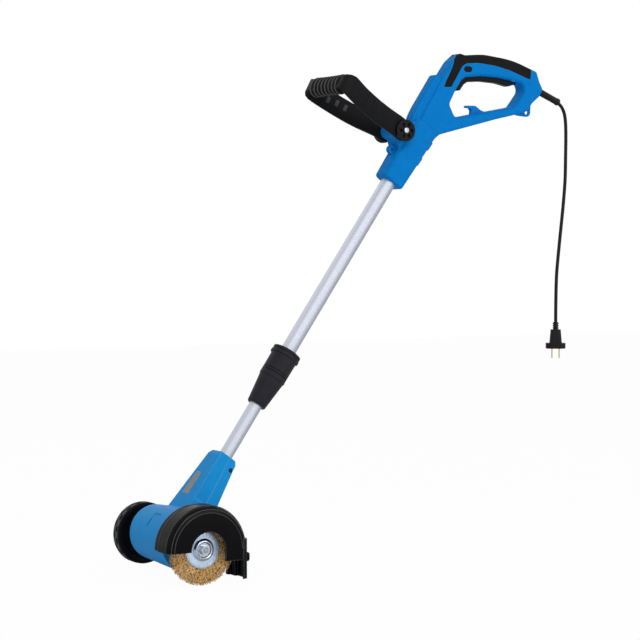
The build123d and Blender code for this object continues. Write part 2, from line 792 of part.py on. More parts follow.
# Twist sleeve: a tapered nut with grip flutes below the clamp
with BuildPart() as twist_sleeve:
    with BuildSketch(tube_side):
        with BuildLine():
            Polyline(
                (lower_tube_od / 2 + tube_gap, sleeve_low), (14.8, sleeve_low), (16.0, sleeve_low + 2),
                (19.0, sleeve_low + 30), (21.2, clamp_low - 7), (22.4, clamp_low - 5),
                (22.4, clamp_low - 0.4),
                (collet_r + tube_gap, clamp_low - 0.4), (collet_r + tube_gap, collet_low + 6),
                (collet_r - 2, collet_low - 1),
                (lower_tube_od / 2 + tube_gap, collet_low - 4), close=True,
            )
        make_face()
    revolve(axis=tube_axis)
    for turn in range(16):
        angle = radians(360 / 16 * turn)
        outward = Vector(cos(angle), 0, 0) + back * sin(angle)
        low_centre = motor + up * (sleeve_low + 5) + outward * 17.9
        high_centre = motor + up * (clamp_low - 9) + outward * 22.0
        with BuildSketch(Plane(origin=low_centre, z_dir=high_centre - low_centre)):
            Circle(1.3)
        extrude(amount=(high_centre - low_centre).length, mode=Mode.SUBTRACT)
twist_sleeve.part.label = "twist_sleeve"
export_step(twist_sleeve.part, "parts/twist_sleeve.step")

# Motor housing: a tapered barrel across the tool with a faceted neck up to the tube
bearing_seat = housing_left + 6.0
neck_screw_up = neck_top - 17.0
neck_screw_x = 14.4
neck_shoulder = neck_top - 7.0
bay_step = gear_x - gear_width / 2 - 7.0
tube_split = Plane(origin=motor, x_dir=(1, 0, 0), z_dir=back)


def barrel_circle(share, inset):
    """Radius and rise of the barrel's section at a share of its length from the small end."""
    radius = housing_small_r + (housing_r - housing_small_r) * share - inset
    return radius, housing_small_rise + (housing_rise - housing_small_rise) * share


def neck_size(height):
    """Half width, front and rear of the neck at a height along the tube."""
    share = (height - neck_base) / (neck_shoulder - neck_base)
    return [low + (high - low) * share for low, high in zip(neck_foot, neck_head)]


# Hollow of the barrel, a wall's thickness inside it
with BuildPart() as barrel_hollow:
    for x, share in ((housing_left + 4, 0.0), (housing_right + 1, 1.0)):
        radius, rise = barrel_circle(share, housing_wall)
        with BuildSketch(head_plane(x)):
            with Locations((0, rise)):
                Circle(radius)
    loft()

# Ribs that carry the works inside the hollow
rib_places = ((-71, -62), (-44, -38), (-6, 2), (bay_step - 4, bay_step + 6), (44, 54))
with BuildPart() as barrel_ribs:
    for low, high in rib_places:
        with BuildSketch(head_plane(low)):
            Circle(2 * housing_r)
        extrude(amount=high - low)
    add(barrel_hollow.part, mode=Mode.INTERSECT)

# Shallow flats on both sides of the neck
facet_depth = 1.2
facet_rim = 2.5
with BuildPart() as neck_facets:
    for side in (1, -1):
        for height in (66.0, neck_top + 2):
            half, front, _ = neck_size(height)
            with BuildSketch(tube_plane(height)):
                with Locations((side * (half - facet_depth), front + facet_rim)):
                    Rectangle(12, 80, align=(Align.MIN if side > 0 else Align.MAX, Align.MIN))
        loft()
    with BuildSketch(Plane.YZ):
        with BuildLine():
            FilletPolyline(
                tube_point(70, -40), tube_point(70, 60), tube_point(neck_top + 2, 60),
                tube_point(neck_top + 2, -18), tube_point(82, -23.5), radius=[0, 0, 0, 0, 12], close=True,
            )
        make_face()
    extrude(amount=housing_r, both=True, mode=Mode.INTERSECT)

with BuildPart() as motor_form:
    for x, share in ((housing_left, 0.0), (housing_right, 1.0)):
        radius, rise = barrel_circle(share, 0)
        with BuildSketch(head_plane(x)):
            with Locations((0, rise)):
                Circle(radius)
    loft()
    fillet(motor_form.faces().sort_by(Axis.X)[0].edges(), 6)
    for height in (neck_base, neck_shoulder):
        half, front, rear = neck_size(height)
        with BuildSketch(tube_plane(height)):
            with BuildLine():
                FilletPolyline(
                    (-half, front), (half, front), (half, rear), (-half, rear),
                    radius=[3, 3, 10, 10], close=True,
                )
            make_face()
    loft()
    for height, inset in ((neck_shoulder, 0.0), (neck_top, 3.0)):
        half, front, rear = neck_size(neck_shoulder)
        with BuildSketch(tube_plane(height)):
            with BuildLine():
                FilletPolyline(
                    (inset - half, front + inset), (half - inset, front + inset),
                    (half - inset, rear - inset), (inset - half, rear - inset),
                    radius=[3, 3, 8, 8], close=True,
                )
            make_face()
    loft()
    add(neck_facets.part, mode=Mode.SUBTRACT)
    add(barrel_hollow.part, mode=Mode.SUBTRACT)
    add(barrel_ribs.part)
    # Stepped bore for the motor and the gears, with the rear bearing's seat
    with BuildSketch(head_side):
        with BuildLine():
            Polyline(
                (bearing_seat, 0), (bearing_seat, bearing_r + seat_gap),
                (bearing_seat + bearing_width, bearing_r + seat_gap),
                (bearing_seat + bearing_width, motor_bay_r), (bay_step, motor_bay_r),
                (bay_step, gear_bay_r), (housing_right + 1, gear_bay_r), (housing_right + 1, 0), close=True,
            )
        make_face()
    revolve(axis=head_axis, mode=Mode.SUBTRACT)
    with BuildSketch(head_plane(housing_left - 1)):
        Circle(axle_r + seat_gap)
    extrude(amount=8, mode=Mode.SUBTRACT)
    # Tube seat in the neck and the cable way below it
    with BuildSketch(tube_plane(neck_top + 1)):
        Circle(lower_tube_od / 2 + seat_gap)
    extrude(amount=-tube_seat_depth - 1, mode=Mode.SUBTRACT)
    with BuildSketch(tube_plane(lower_tube_low + 1)):
        Circle(lower_tube_od / 2 - 4)
    extrude(amount=-40, mode=Mode.SUBTRACT)
    # Screws that close the neck from behind
    with BuildSketch(Plane(origin=motor + up * neck_screw_up + back * 4, x_dir=(1, 0, 0), z_dir=back)):
        with Locations((-neck_screw_x, 0), (neck_screw_x, 0)):
            Circle(3.2 + seat_gap)
    extrude(amount=20, mode=Mode.SUBTRACT)
    with BuildSketch(Plane(origin=motor + up * neck_screw_up + back * 5, x_dir=(1, 0, 0), z_dir=back)):
        with Locations((-neck_screw_x, 0), (neck_screw_x, 0)):
            Circle(1.7 + seat_gap)
    extrude(amount=-15, mode=Mode.SUBTRACT)

with BuildPart() as motor_housing_rear:
    add(motor_form.part)
    split(bisect_by=tube_split, keep=Keep.TOP)
motor_housing_rear.part.label = "motor_housing_rear"
export_step(motor_housing_rear.part, "parts/motor_housing_rear.step")

with BuildPart() as motor_housing_front:
    add(motor_form.part)
    split(bisect_by=tube_split, keep=Keep.BOTTOM)
motor_housing_front.part.label = "motor_housing_front"
export_step(motor_housing_front.part, "parts/motor_housing_front.step")

with BuildPart() as neck_screws:
    with BuildSketch(Plane(origin=motor + up * neck_screw_up + back * 4, x_dir=(1, 0, 0), z_dir=back)):
        with Locations((-neck_screw_x, 0), (neck_screw_x, 0)):
            Circle(3.2)
    extrude(amount=2.6)
    with BuildSketch(Plane(origin=motor + up * neck_screw_up + back * 5, x_dir=(1, 0, 0), z_dir=back)):
        with Locations((-neck_screw_x, 0), (neck_screw_x, 0)):
            Circle(1.7)
    extrude(amount=-14)
neck_screws.part.label = "neck_screws"
export_step(neck_screws.part, "parts/neck_screws.step")

# Field pack: a laminated ring with two pole shoes
stator_in = armature_r + air_gap
with BuildPart() as stator:
    with BuildSketch(head_plane(armature_x - armature_length / 2)):
        Circle(motor_bay_r - seat_gap)
        Circle(stator_in, mode=Mode.SUBTRACT)
        with Locations((stator_in + 1.5, 0), (-stator_in - 1.5, 0)):
            RectangleRounded(7, 26, 3, mode=Mode.SUBTRACT)
    extrude(amount=armature_length)
stator.part.label = "stator"
export_step(stator.part, "parts/stator.step")

# Armature with its winding slots
with BuildPart() as armature:
    with BuildSketch(head_plane(armature_x - armature_length / 2)):
        Circle(armature_r)
        Circle(shaft_r + seat_gap, mode=Mode.SUBTRACT)
        with PolarLocations(armature_r - 4, 12):
            Rectangle(9, 3, mode=Mode.SUBTRACT)
    extrude(amount=armature_length)
armature.part.label = "armature"
export_step(armature.part, "parts/armature.step")

gear_low = gear_x - gear_width / 2
plate_low = gear_low - 7.0
with BuildPart() as motor_shaft:
    with BuildSketch(head_side):
        with BuildLine():
            Polyline(
                (bearing_seat + 0.5, 0), (bearing_seat + 0.5, shaft_r), (gear_low - 2, shaft_r),
                (gear_low - 2, pinion_shaft_r),
                (gear_low + gear_width, pinion_shaft_r), (gear_low + gear_width, 0), close=True,
            )
        make_face()
    revolve(axis=head_axis)
motor_shaft.part.label = "motor_shaft"
export_step(motor_shaft.part, "parts/motor_shaft.step")

commutator_low = armature_x - armature_length / 2 - 16
with BuildPart() as commutator:
    with BuildSketch(head_plane(commutator_low)):
        Circle(commutator_r)
        Circle(shaft_r + seat_gap, mode=Mode.SUBTRACT)
        with PolarLocations(commutator_r, 12):
            Rectangle(2.4, 0.8, mode=Mode.SUBTRACT)
    extrude(amount=14)
commutator.part.label = "commutator"
export_step(commutator.part, "parts/commutator.step")

# Carbon brushes in their holders on the barrel's wall
with BuildPart() as brush_holders:
    with BuildSketch(head_plane(commutator_low + 2)):
        Circle(motor_bay_r - seat_gap)
        Circle(commutator_r + 6, mode=Mode.SUBTRACT)
        with BuildSketch(mode=Mode.PRIVATE) as holder_band:
            Rectangle(2 * housing_r, 14)
            Rectangle(2 * housing_r, 8.1, mode=Mode.SUBTRACT)
        add(holder_band.sketch, mode=Mode.INTERSECT)
        with Locations((motor_bay_r - 3, 0), (3 - motor_bay_r, 0)):
            Rectangle(4, 10)
    extrude(amount=10)
brush_holders.part.label = "brush_holders"
export_step(brush_holders.part, "parts/brush_holders.step")

with BuildPart() as carbon_brushes:
    with BuildSketch(head_plane(commutator_low + 2.2)):
        with Locations((20, 0), (-20, 0)):
            Rectangle(16, 8)
        Circle(commutator_r + tube_gap, mode=Mode.SUBTRACT)
    extrude(amount=9.6)
carbon_brushes.part.label = "carbon_brushes"
export_step(carbon_brushes.part, "parts/carbon_brushes.step")

# Cooling fan behind the gear plate
fan_low = plate_low - 12.0
with BuildPart() as cooling_fan:
    with BuildSketch(head_plane(fan_low)):
        Circle(fan_r)
        Circle(shaft_r + seat_gap, mode=Mode.SUBTRACT)
    extrude(amount=2)
    with BuildSketch(head_plane(fan_low)):
        Circle(9)
        Circle(shaft_r + seat_gap, mode=Mode.SUBTRACT)
    extrude(amount=8)
    with BuildSketch(head_plane(fan_low + 1)):
        with PolarLocations(fan_r / 2 + 5, fan_blades):
            Rectangle(fan_r - 13, 1.6, rotation=18)
    extrude(amount=7)
cooling_fan.part.label = "cooling_fan"
export_step(cooling_fan.part, "parts/cooling_fan.step")

# Ball bearings: rings with recessed shields
with BuildPart() as bearing_rear:
    with BuildSketch(head_side):
        with BuildLine():
            Polyline(
                (bearing_seat, shaft_r + seat_gap), (bearing_seat, shaft_r + 2),
                (bearing_seat + 0.5, shaft_r + 2),
                (bearing_seat + 0.5, bearing_r - 2), (bearing_seat, bearing_r - 2),
                (bearing_seat, bearing_r),
                (bearing_seat + bearing_width, bearing_r),
                (bearing_seat + bearing_width, shaft_r + seat_gap), close=True,
            )
        make_face()
    revolve(axis=head_axis)
bearing_rear.part.label = "bearing_rear"
export_step(bearing_rear.part, "parts/bearing_rear.step")

with BuildPart() as bearing_front:
    with BuildSketch(head_side):
        with BuildLine():
            Polyline(
                (plate_low, shaft_r + seat_gap), (plate_low, shaft_r + 2), (plate_low + 0.5, shaft_r + 2),
                (plate_low + 0.5, bearing_r - 2), (plate_low, bearing_r - 2), (plate_low, bearing_r),
                (plate_low + bearing_width - 2, bearing_r),
                (plate_low + bearing_width - 2, shaft_r + seat_gap), close=True,
            )
        make_face()
    revolve(axis=head_axis)
bearing_front.part.label = "bearing_front"
export_step(bearing_front.part, "parts/bearing_front.step")

# Plate between motor and gears
with BuildPart() as gear_plate:
    with BuildSketch(head_side):
        with BuildLine():
            Polyline(
                (plate_low, bearing_r + seat_gap), (plate_low, gear_bay_r - seat_gap),
                (gear_low - 1, gear_bay_r - seat_gap),
                (gear_low - 1, shaft_r + 2), (plate_low + bearing_width - 2, shaft_r + 2),
                (plate_low + bearing_width - 2, bearing_r + seat_gap), close=True,
            )
        make_face()
    revolve(axis=head_axis)
gear_plate.part.label = "gear_plate"
export_step(gear_plate.part, "parts/gear_plate.step")

# Planetary gears: pinion, three planets and the toothed ring
centre_distance = gear_module * (sun_teeth + planet_teeth) / 2
addendum = 0.8 * gear_module
dedendum = 1.1 * gear_module
sun_r = gear_module * sun_teeth / 2
planet_r = gear_module * planet_teeth / 2
ring_pitch_r = gear_module * ring_teeth / 2
sun_outline = tooth_outline(sun_teeth, sun_r - dedendum, sun_r + addendum, backlash)
planet_outline = tooth_outline(planet_teeth, planet_r - dedendum, planet_r + addendum, backlash)
ring_outline = tooth_outline(ring_teeth, ring_pitch_r - addendum, ring_pitch_r + dedendum, -backlash)
with BuildPart() as sun_pinion:
    with BuildSketch(head_plane(gear_low)):
        with BuildLine():
            Polyline(*sun_outline, close=True)
        make_face()
        Circle(pinion_shaft_r + seat_gap, mode=Mode.SUBTRACT)
    extrude(amount=gear_width)
sun_pinion.part.label = "sun_pinion"
export_step(sun_pinion.part, "parts/sun_pinion.step")


def planet_plane(angle):
    """Plane of a planet, turned so that its teeth mesh with the pinion and the ring."""
    outward = Vector(0, cos(radians(angle)), sin(radians(angle)))
    at = Vector(gear_low + 0.3, 0, 0) + outward * centre_distance
    turn = radians(180 / planet_teeth)
    return Plane(origin=motor + at, x_dir=(0, cos(turn), sin(turn)), z_dir=(1, 0, 0))


with BuildPart() as planet_gear_a:
    with BuildSketch(planet_plane(90)):
        with BuildLine():
            Polyline(*planet_outline, close=True)
        make_face()
        Circle(planet_pin_r + running_gap, mode=Mode.SUBTRACT)
    extrude(amount=gear_width - 0.6)
planet_gear_a.part.label = "planet_gear_a"
export_step(planet_gear_a.part, "parts/planet_gear_a.step")

with BuildPart() as planet_gear_b:
    with BuildSketch(planet_plane(210)):
        with BuildLine():
            Polyline(*planet_outline, close=True)
        make_face()
        Circle(planet_pin_r + running_gap, mode=Mode.SUBTRACT)
    extrude(amount=gear_width - 0.6)
planet_gear_b.part.label = "planet_gear_b"
export_step(planet_gear_b.part, "parts/planet_gear_b.step")

with BuildPart() as planet_gear_c:
    with BuildSketch(planet_plane(330)):
        with BuildLine():
            Polyline(*planet_outline, close=True)
        make_face()
        Circle(planet_pin_r + running_gap, mode=Mode.SUBTRACT)
    extrude(amount=gear_width - 0.6)
planet_gear_c.part.label = "planet_gear_c"
export_step(planet_gear_c.part, "parts/planet_gear_c.step")

ring_turn = radians(180 / ring_teeth)
ring_x_dir = (0, cos(ring_turn), sin(ring_turn))
with BuildPart() as ring_gear:
    with BuildSketch(Plane(origin=motor + Vector(gear_low, 0, 0), x_dir=ring_x_dir, z_dir=(1, 0, 0))):
        Circle(ring_r)
        with BuildLine():
            Polyline(*ring_outline, close=True)
        make_face(mode=Mode.SUBTRACT)
    extrude(amount=gear_width)
ring_gear.part.label = "ring_gear"
export_step(ring_gear.part, "parts/ring_gear.step")

# Carrier with the planets' pins, on the output spindle
carrier_low = gear_low + gear_width + 0.3
carrier_t = 4.0
with BuildPart() as planet_carrier:
    with BuildSketch(head_plane(carrier_low)):
        Circle(centre_distance + 6)
        Circle(spindle_nose_r + seat_gap, mode=Mode.SUBTRACT)
    extrude(amount=carrier_t)
    with BuildSketch(head_plane(carrier_low)):
        with PolarLocations(centre_distance, 3, start_angle=90):
            Circle(planet_pin_r)
    extrude(amount=-gear_width)
planet_carrier.part.label = "planet_carrier"
export_step(planet_carrier.part, "parts/planet_carrier.step")

bearing_low = carrier_low + carrier_t + 0.5
brush_low = brush_x - brush_width / 2
flange_low = brush_low - brush_plate_t - 4.0
nose_end = brush_x + brush_width / 2 + 11.0
with BuildPart() as output_spindle:
    with BuildSketch(head_side):
        with BuildLine():
            Polyline(
                (carrier_low, 0), (carrier_low, spindle_nose_r),
                (carrier_low + carrier_t, spindle_nose_r),
                (carrier_low + carrier_t, spindle_r), (bearing_low + output_bearing_width, spindle_r),
                (bearing_low + output_bearing_width + 0.5, spindle_r + 2), (flange_low, spindle_r + 2),
                (flange_low, 16),
                (flange_low + 4, 16), (flange_low + 4, spindle_nose_r), (nose_end - 1, spindle_nose_r),
                (nose_end, spindle_nose_r - 1), (nose_end, 0), close=True,
            )
        make_face()
    revolve(axis=head_axis)
output_spindle.part.label = "output_spindle"
export_step(output_spindle.part, "parts/output_spindle.step")

with BuildPart() as bearing_output:
    with BuildSketch(head_side):
        with BuildLine():
            Polyline(
                (bearing_low, spindle_r + seat_gap), (bearing_low, output_bearing_r),
                (bearing_low + output_bearing_width, output_bearing_r),
                (bearing_low + output_bearing_width, output_bearing_r - 2),
                (bearing_low + output_bearing_width - 0.5, output_bearing_r - 2),
                (bearing_low + output_bearing_width - 0.5, spindle_r + 2),
                (bearing_low + output_bearing_width, spindle_r + 2),
                (bearing_low + output_bearing_width, spindle_r + seat_gap), close=True,
            )
        make_face()
    revolve(axis=head_axis)
bearing_output.part.label = "bearing_output"
export_step(bearing_output.part, "parts/bearing_output.step")

# Gear cover: a cup that holds the ring and the output bearing and closes the barrel
guard_screw_r = 31.0
with BuildPart() as gear_cover:
    with BuildSketch(head_side):
        with BuildLine():
            Polyline(
                (gear_low - 1, ring_r + seat_gap), (gear_low - 1, gear_bay_r - seat_gap),
                (housing_right, gear_bay_r - seat_gap),
                (housing_right, spindle_r + 3), (bearing_low + output_bearing_width, spindle_r + 3),
                (bearing_low + output_bearing_width, output_bearing_r + seat_gap),
                (bearing_low, output_bearing_r + seat_gap),
                (bearing_low, centre_distance + 7), (gear_low + gear_width, centre_distance + 7),
                (gear_low + gear_width, ring_r + seat_gap), close=True,
            )
        make_face()
    revolve(axis=head_axis)
    with BuildSketch(head_plane(housing_right)):
        with PolarLocations(guard_screw_r, 3, start_angle=30, angular_range=180):
            Circle(screw_r + seat_gap)
    extrude(amount=-11, mode=Mode.SUBTRACT)
gear_cover.part.label = "gear_cover"
export_step(gear_cover.part, "parts/gear_cover.step")

# Guard: a stepped half hood with a front plate, an arch over the hub and a rear skirt
guard_plane = Plane(origin=motor, x_dir=(1, 0, 0), z_dir=(0, 0, -1))
rear_plane = Plane(origin=motor, x_dir=(1, 0, 0), z_dir=(0, 0, 1))
guard_back = housing_right + 0.3
guard_floor = guard_back + 5.7
first_r, second_r = guard_steps
first_x, second_x = guard_step_x


def hood_outline(top):
    """Outer side of the hood from its back to its front plate, for a largest radius."""
    return [
        (guard_back, first_r), (first_x, first_r), (first_x, second_r), (second_x, second_r),
        (second_x, top), (guard_front - 10, top), (guard_front - 4.5, top - 2), (guard_front - 1.5, top - 5),
        (guard_front, top - 10),
    ]


def hood_lining(top):
    """Inner side of the hood, from the front plate to its back, a wall inside the outline."""
    return [
        (guard_front - guard_wall, top - 10.5), (guard_front - 5, top - 6.5),
        (guard_front - 10, top - guard_wall),
        (second_x + guard_wall, top - guard_wall), (second_x + guard_wall, second_r - guard_wall),
        (first_x + guard_wall, second_r - guard_wall), (first_x + guard_wall, first_r - guard_wall),
        (guard_floor, first_r - guard_wall),
    ]


with BuildPart() as guard:
    with BuildSketch(guard_plane):
        with BuildLine():
            Polyline(
                (guard_back, spindle_r + 8), *hood_outline(guard_r), (guard_front, guard_arch_r),
                (guard_front - guard_wall, guard_arch_r), *hood_lining(guard_r), (guard_floor, spindle_r + 8),
                close=True,
            )
        make_face()
    revolve(axis=Axis(motor, (-1, 0, 0)), revolution_arc=180)
    with BuildSketch(rear_plane.offset(guard_skirt_top)):
        with BuildLine():
            Polyline(*hood_outline(guard_skirt_y), *hood_lining(guard_skirt_y), close=True)
        make_face()
    extrude(amount=-guard_skirt_top - guard_skirt)
    with BuildSketch(head_plane(guard_front)):
        with Locations((guard_arch_r, 0)):
            Rectangle(guard_r - 9 - guard_arch_r, guard_leg, align=(Align.MIN, Align.MAX))
    extrude(amount=-guard_wall)
    with BuildSketch(head_plane(guard_front - 14)):
        with Locations((guard_skirt_y, -15)):
            SlotOverall(14, 7, rotation=90)
        with Locations((guard_skirt_y - 8, -15)):
            Rectangle(13, 20, mode=Mode.SUBTRACT)
    extrude(amount=8)
    with BuildSketch(head_plane(guard_back)):
        with PolarLocations(guard_screw_r, 3, start_angle=30, angular_range=180):
            Circle(screw_r + seat_gap)
    extrude(amount=10, mode=Mode.SUBTRACT)
guard.part.label = "guard"
export_step(guard.part, "parts/guard.step")

with BuildPart() as guard_screws:
    with BuildSketch(head_plane(guard_floor)):
        with PolarLocations(guard_screw_r, 3, start_angle=30, angular_range=180):
            Circle(screw_head_r)
    extrude(amount=screw_head_h)
    with BuildSketch(head_plane(guard_floor)):
        with PolarLocations(guard_screw_r, 3, start_angle=30, angular_range=180):
            Circle(screw_r)
    extrude(amount=-15)
guard_screws.part.label = "guard_screws"
export_step(guard_screws.part, "parts/guard_screws.step")

# Wire wheel: layers of straight wires on a core ring, between two pressed plates
with BuildPart() as brush_wires:
    with BuildSketch(head_plane(brush_low)):
        Circle(brush_core_r)
        Circle(spindle_nose_r + 6, mode=Mode.SUBTRACT)
    extrude(amount=brush_width)
    wires = []
    for layer in range(wire_layers):
        x = brush_low + 1 + layer * (brush_width - 2 - wire_size) / (wire_layers - 1)
        for number in range(wires_per_layer):
            angle = 2 * pi * (number + layer / wire_layers) / wires_per_layer
            radial = Vector(0, cos(angle), sin(angle))
            root = motor + Vector(x + wire_size / 2, 0, 0) + radial * (brush_core_r - 1)
            wire_plane = Plane(origin=root, x_dir=(1, 0, 0), z_dir=radial)
            wires.append(wire_plane * Box(
                wire_size, wire_size, brush_r - brush_core_r + 1,
                align=(Align.CENTER, Align.CENTER, Align.MIN), mode=Mode.PRIVATE,
            ))
    add(wires)
brush_wires.part.label = "brush_wires"
export_step(brush_wires.part, "parts/brush_wires.step")

with BuildPart() as brush_plate_rear:
    with BuildSketch(head_side):
        with BuildLine():
            Polyline(
                (brush_low - brush_plate_t, spindle_nose_r + seat_gap),
                (brush_low, spindle_nose_r + seat_gap),
                (brush_low, brush_core_r + 1), (brush_low + 1.0, brush_plate_r),
                (brush_low, brush_plate_r + 0.4),
                (brush_low - brush_plate_t, brush_core_r + 1), close=True,
            )
        make_face()
    revolve(axis=head_axis)
brush_plate_rear.part.label = "brush_plate_rear"
export_step(brush_plate_rear.part, "parts/brush_plate_rear.step")

brush_high = brush_low + brush_width
flange_r = 17.5
with BuildPart() as brush_plate_front:
    with BuildSketch(head_side):
        with BuildLine():
            Polyline(
                (brush_high + brush_plate_t, spindle_nose_r + seat_gap),
                (brush_high, spindle_nose_r + seat_gap),
                (brush_high, brush_core_r + 1), (brush_high - 1.0, brush_plate_r),
                (brush_high, brush_plate_r + 0.4),
                (brush_high + brush_plate_t, brush_core_r + 1), close=True,
            )
        make_face()
    revolve(axis=head_axis)
    with BuildSketch(head_plane(brush_high + brush_plate_t + 0.5)):
        with PolarLocations((flange_r + brush_core_r) / 2 + 1.5, 24):
            Rectangle(7, 1.2)
    extrude(amount=-1.0, mode=Mode.SUBTRACT)
brush_plate_front.part.label = "brush_plate_front"
export_step(brush_plate_front.part, "parts/brush_plate_front.step")

# Dished clamp flange and the nut inside it
with BuildPart() as clamp_flange:
    with BuildSketch(head_side):
        with BuildLine():
            start = brush_high + brush_plate_t
            Polyline(
                (start, spindle_nose_r + seat_gap), (start, flange_r), (start + 2, flange_r),
                (start + 5, flange_r - 3),
                (start + 5.5, flange_r - 4.5), (start + 4.5, flange_r - 6), (start + 2.5, flange_r - 7),
                (start + 2.5, spindle_nose_r + seat_gap), close=True,
            )
        make_face()
    revolve(axis=head_axis)
clamp_flange.part.label = "clamp_flange"
export_step(clamp_flange.part, "parts/clamp_flange.step")

with BuildPart() as spindle_nut:
    with BuildSketch(head_plane(brush_high + brush_plate_t + 2.5)):
        RegularPolygon(7.5, 6)
        Circle(spindle_nose_r + seat_gap, mode=Mode.SUBTRACT)
    extrude(amount=6)
spindle_nut.part.label = "spindle_nut"
export_step(spindle_nut.part, "parts/spindle_nut.step")

# Guide wheel: a dished hub on a stub axle and a tyre with tread blocks
wheel_low = wheel_x - wheel_width / 2
wheel_high = wheel_x + wheel_width / 2
axle_flange = housing_left - 4.0
axle_end = wheel_low - 3.0
with BuildPart() as wheel_axle:
    with BuildSketch(head_side):
        with BuildLine():
            Polyline(
                (bearing_seat - 0.5, 0), (bearing_seat - 0.5, axle_r), (housing_left, axle_r),
                (housing_left, 17),
                (axle_flange, 15), (axle_flange, axle_r), (axle_end, axle_r), (axle_end, 0), close=True,
            )
        make_face()
    revolve(axis=head_axis)
wheel_axle.part.label = "wheel_axle"
export_step(wheel_axle.part, "parts/wheel_axle.step")

rim_r = wheel_r - tread_depth - 4.5
with BuildPart() as wheel_hub:
    with BuildSketch(head_side):
        with BuildLine():
            Polyline(
                (axle_flange - 0.4, axle_r + running_gap), (axle_flange - 0.4, 11), (wheel_high - 8, 14),
                (wheel_high - 10, rim_r - 4), (wheel_high - 1, rim_r - 3), (wheel_high - 1, rim_r),
                (wheel_low + 1, rim_r),
                (wheel_low + 1, rim_r - 3), (wheel_high - 14, rim_r - 4), (wheel_high - 12, 13),
                (wheel_low - 2, 11),
                (wheel_low - 2, axle_r + running_gap), close=True,
            )
        make_face()
    revolve(axis=head_axis)
wheel_hub.part.label = "wheel_hub"
export_step(wheel_hub.part, "parts/wheel_hub.step")

with BuildPart() as tyre:
    with BuildSketch(head_side):
        with BuildLine():
            Polyline(
                (wheel_high, rim_r + seat_gap), (wheel_high, wheel_r - 2.5),
                (wheel_high - 1.5, wheel_r - 0.5),
                (wheel_high - 3, wheel_r), (wheel_low + 3, wheel_r), (wheel_low + 1.5, wheel_r - 0.5),
                (wheel_low, wheel_r - 2.5), (wheel_low, rim_r + seat_gap), close=True,
            )
        make_face()
    revolve(axis=head_axis)
    for low, start in ((wheel_low + 2.2, 0.0), (wheel_x + 0.8, 180 / tread_count)):
        with BuildSketch(head_plane(low)):
            with PolarLocations(wheel_r, tread_count, start_angle=start):
                Rectangle(2 * tread_depth, tread_pit)
        extrude(amount=wheel_width / 2 - 3, mode=Mode.SUBTRACT)
tyre.part.label = "tyre"
export_step(tyre.part, "parts/tyre.step")

with BuildPart() as wheel_cap:
    with BuildSketch(head_side):
        with BuildLine():
            Polyline(
                (axle_end, 0), (axle_end, 10), (axle_end - 1.5, 10), (axle_end - 3.5, 5), (axle_end - 3.5, 0),
                close=True,
            )
        make_face()
    revolve(axis=head_axis)
wheel_cap.part.label = "wheel_cap"
export_step(wheel_cap.part, "parts/wheel_cap.step")
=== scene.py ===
import bpy
import bmesh
import json
import random
from math import cos, pi, radians, sin
from mathutils import Matrix, Vector


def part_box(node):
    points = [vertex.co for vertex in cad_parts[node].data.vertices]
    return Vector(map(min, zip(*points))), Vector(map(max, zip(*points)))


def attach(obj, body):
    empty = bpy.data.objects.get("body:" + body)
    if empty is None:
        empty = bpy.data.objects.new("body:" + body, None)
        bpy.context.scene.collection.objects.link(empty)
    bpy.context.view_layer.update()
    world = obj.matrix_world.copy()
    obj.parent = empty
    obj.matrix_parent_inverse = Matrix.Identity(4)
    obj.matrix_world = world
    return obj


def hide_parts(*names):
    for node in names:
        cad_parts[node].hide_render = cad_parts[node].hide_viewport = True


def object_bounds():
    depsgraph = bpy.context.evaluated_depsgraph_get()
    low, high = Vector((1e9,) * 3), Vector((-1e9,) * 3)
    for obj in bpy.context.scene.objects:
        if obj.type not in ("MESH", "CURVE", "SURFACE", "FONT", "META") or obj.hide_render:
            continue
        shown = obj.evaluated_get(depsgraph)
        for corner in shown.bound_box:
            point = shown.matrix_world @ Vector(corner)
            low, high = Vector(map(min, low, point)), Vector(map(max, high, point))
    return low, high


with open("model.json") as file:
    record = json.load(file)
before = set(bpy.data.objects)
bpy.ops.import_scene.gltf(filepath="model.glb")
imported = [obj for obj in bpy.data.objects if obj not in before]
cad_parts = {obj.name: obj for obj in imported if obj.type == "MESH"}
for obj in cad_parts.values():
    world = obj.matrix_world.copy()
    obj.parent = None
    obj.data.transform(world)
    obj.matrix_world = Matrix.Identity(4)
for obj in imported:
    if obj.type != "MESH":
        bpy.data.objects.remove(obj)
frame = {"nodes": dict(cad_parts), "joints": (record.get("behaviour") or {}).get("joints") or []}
cad_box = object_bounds()
joints = {joint["name"]: joint for joint in frame["joints"]}

# Camera. A long lens looks at the tool from its front left, a little below the grip,
# so that the tube leans away to the upper right and the wire wheel is nearest.
camera_place = Vector((2.7260, -2.0056, -0.2959))
camera_heading = radians(58.6)
camera_tilt = radians(90 - 2.35)
lens_pixels = 1950
picture_pixels = 640
sensor = 36.0

camera_data = bpy.data.cameras.new("camera")
camera_data.sensor_width = sensor
camera_data.lens = sensor * lens_pixels / picture_pixels
camera_data.clip_end = 50
camera = bpy.data.objects.new("camera", camera_data)
camera.location = camera_place
camera.rotation_euler = (camera_tilt, 0, camera_heading)
bpy.context.scene.collection.objects.link(camera)
bpy.context.scene.camera = camera
bpy.context.scene.view_settings.view_transform = "Standard"

# Stage. A pale floor on which the head stands, so it goes down with the head when the
# tube is drawn out; white surroundings for the lens and for reflections, a large soft
# lamp above the front, one level with the tool at its right and a weak one behind.
ambient_strength = 0.5
floor_half = 6
floor_gap = 0.0005
floor_white = 0.97
lamps = (
    ("key", (2.2, -1.1, 1.5), 1.5, 22),
    ("fill", (2.7, 0.6, 0.0), 1.6, 18),
    ("rim", (-1.6, -1.2, 1.4), 1.2, 6),
)


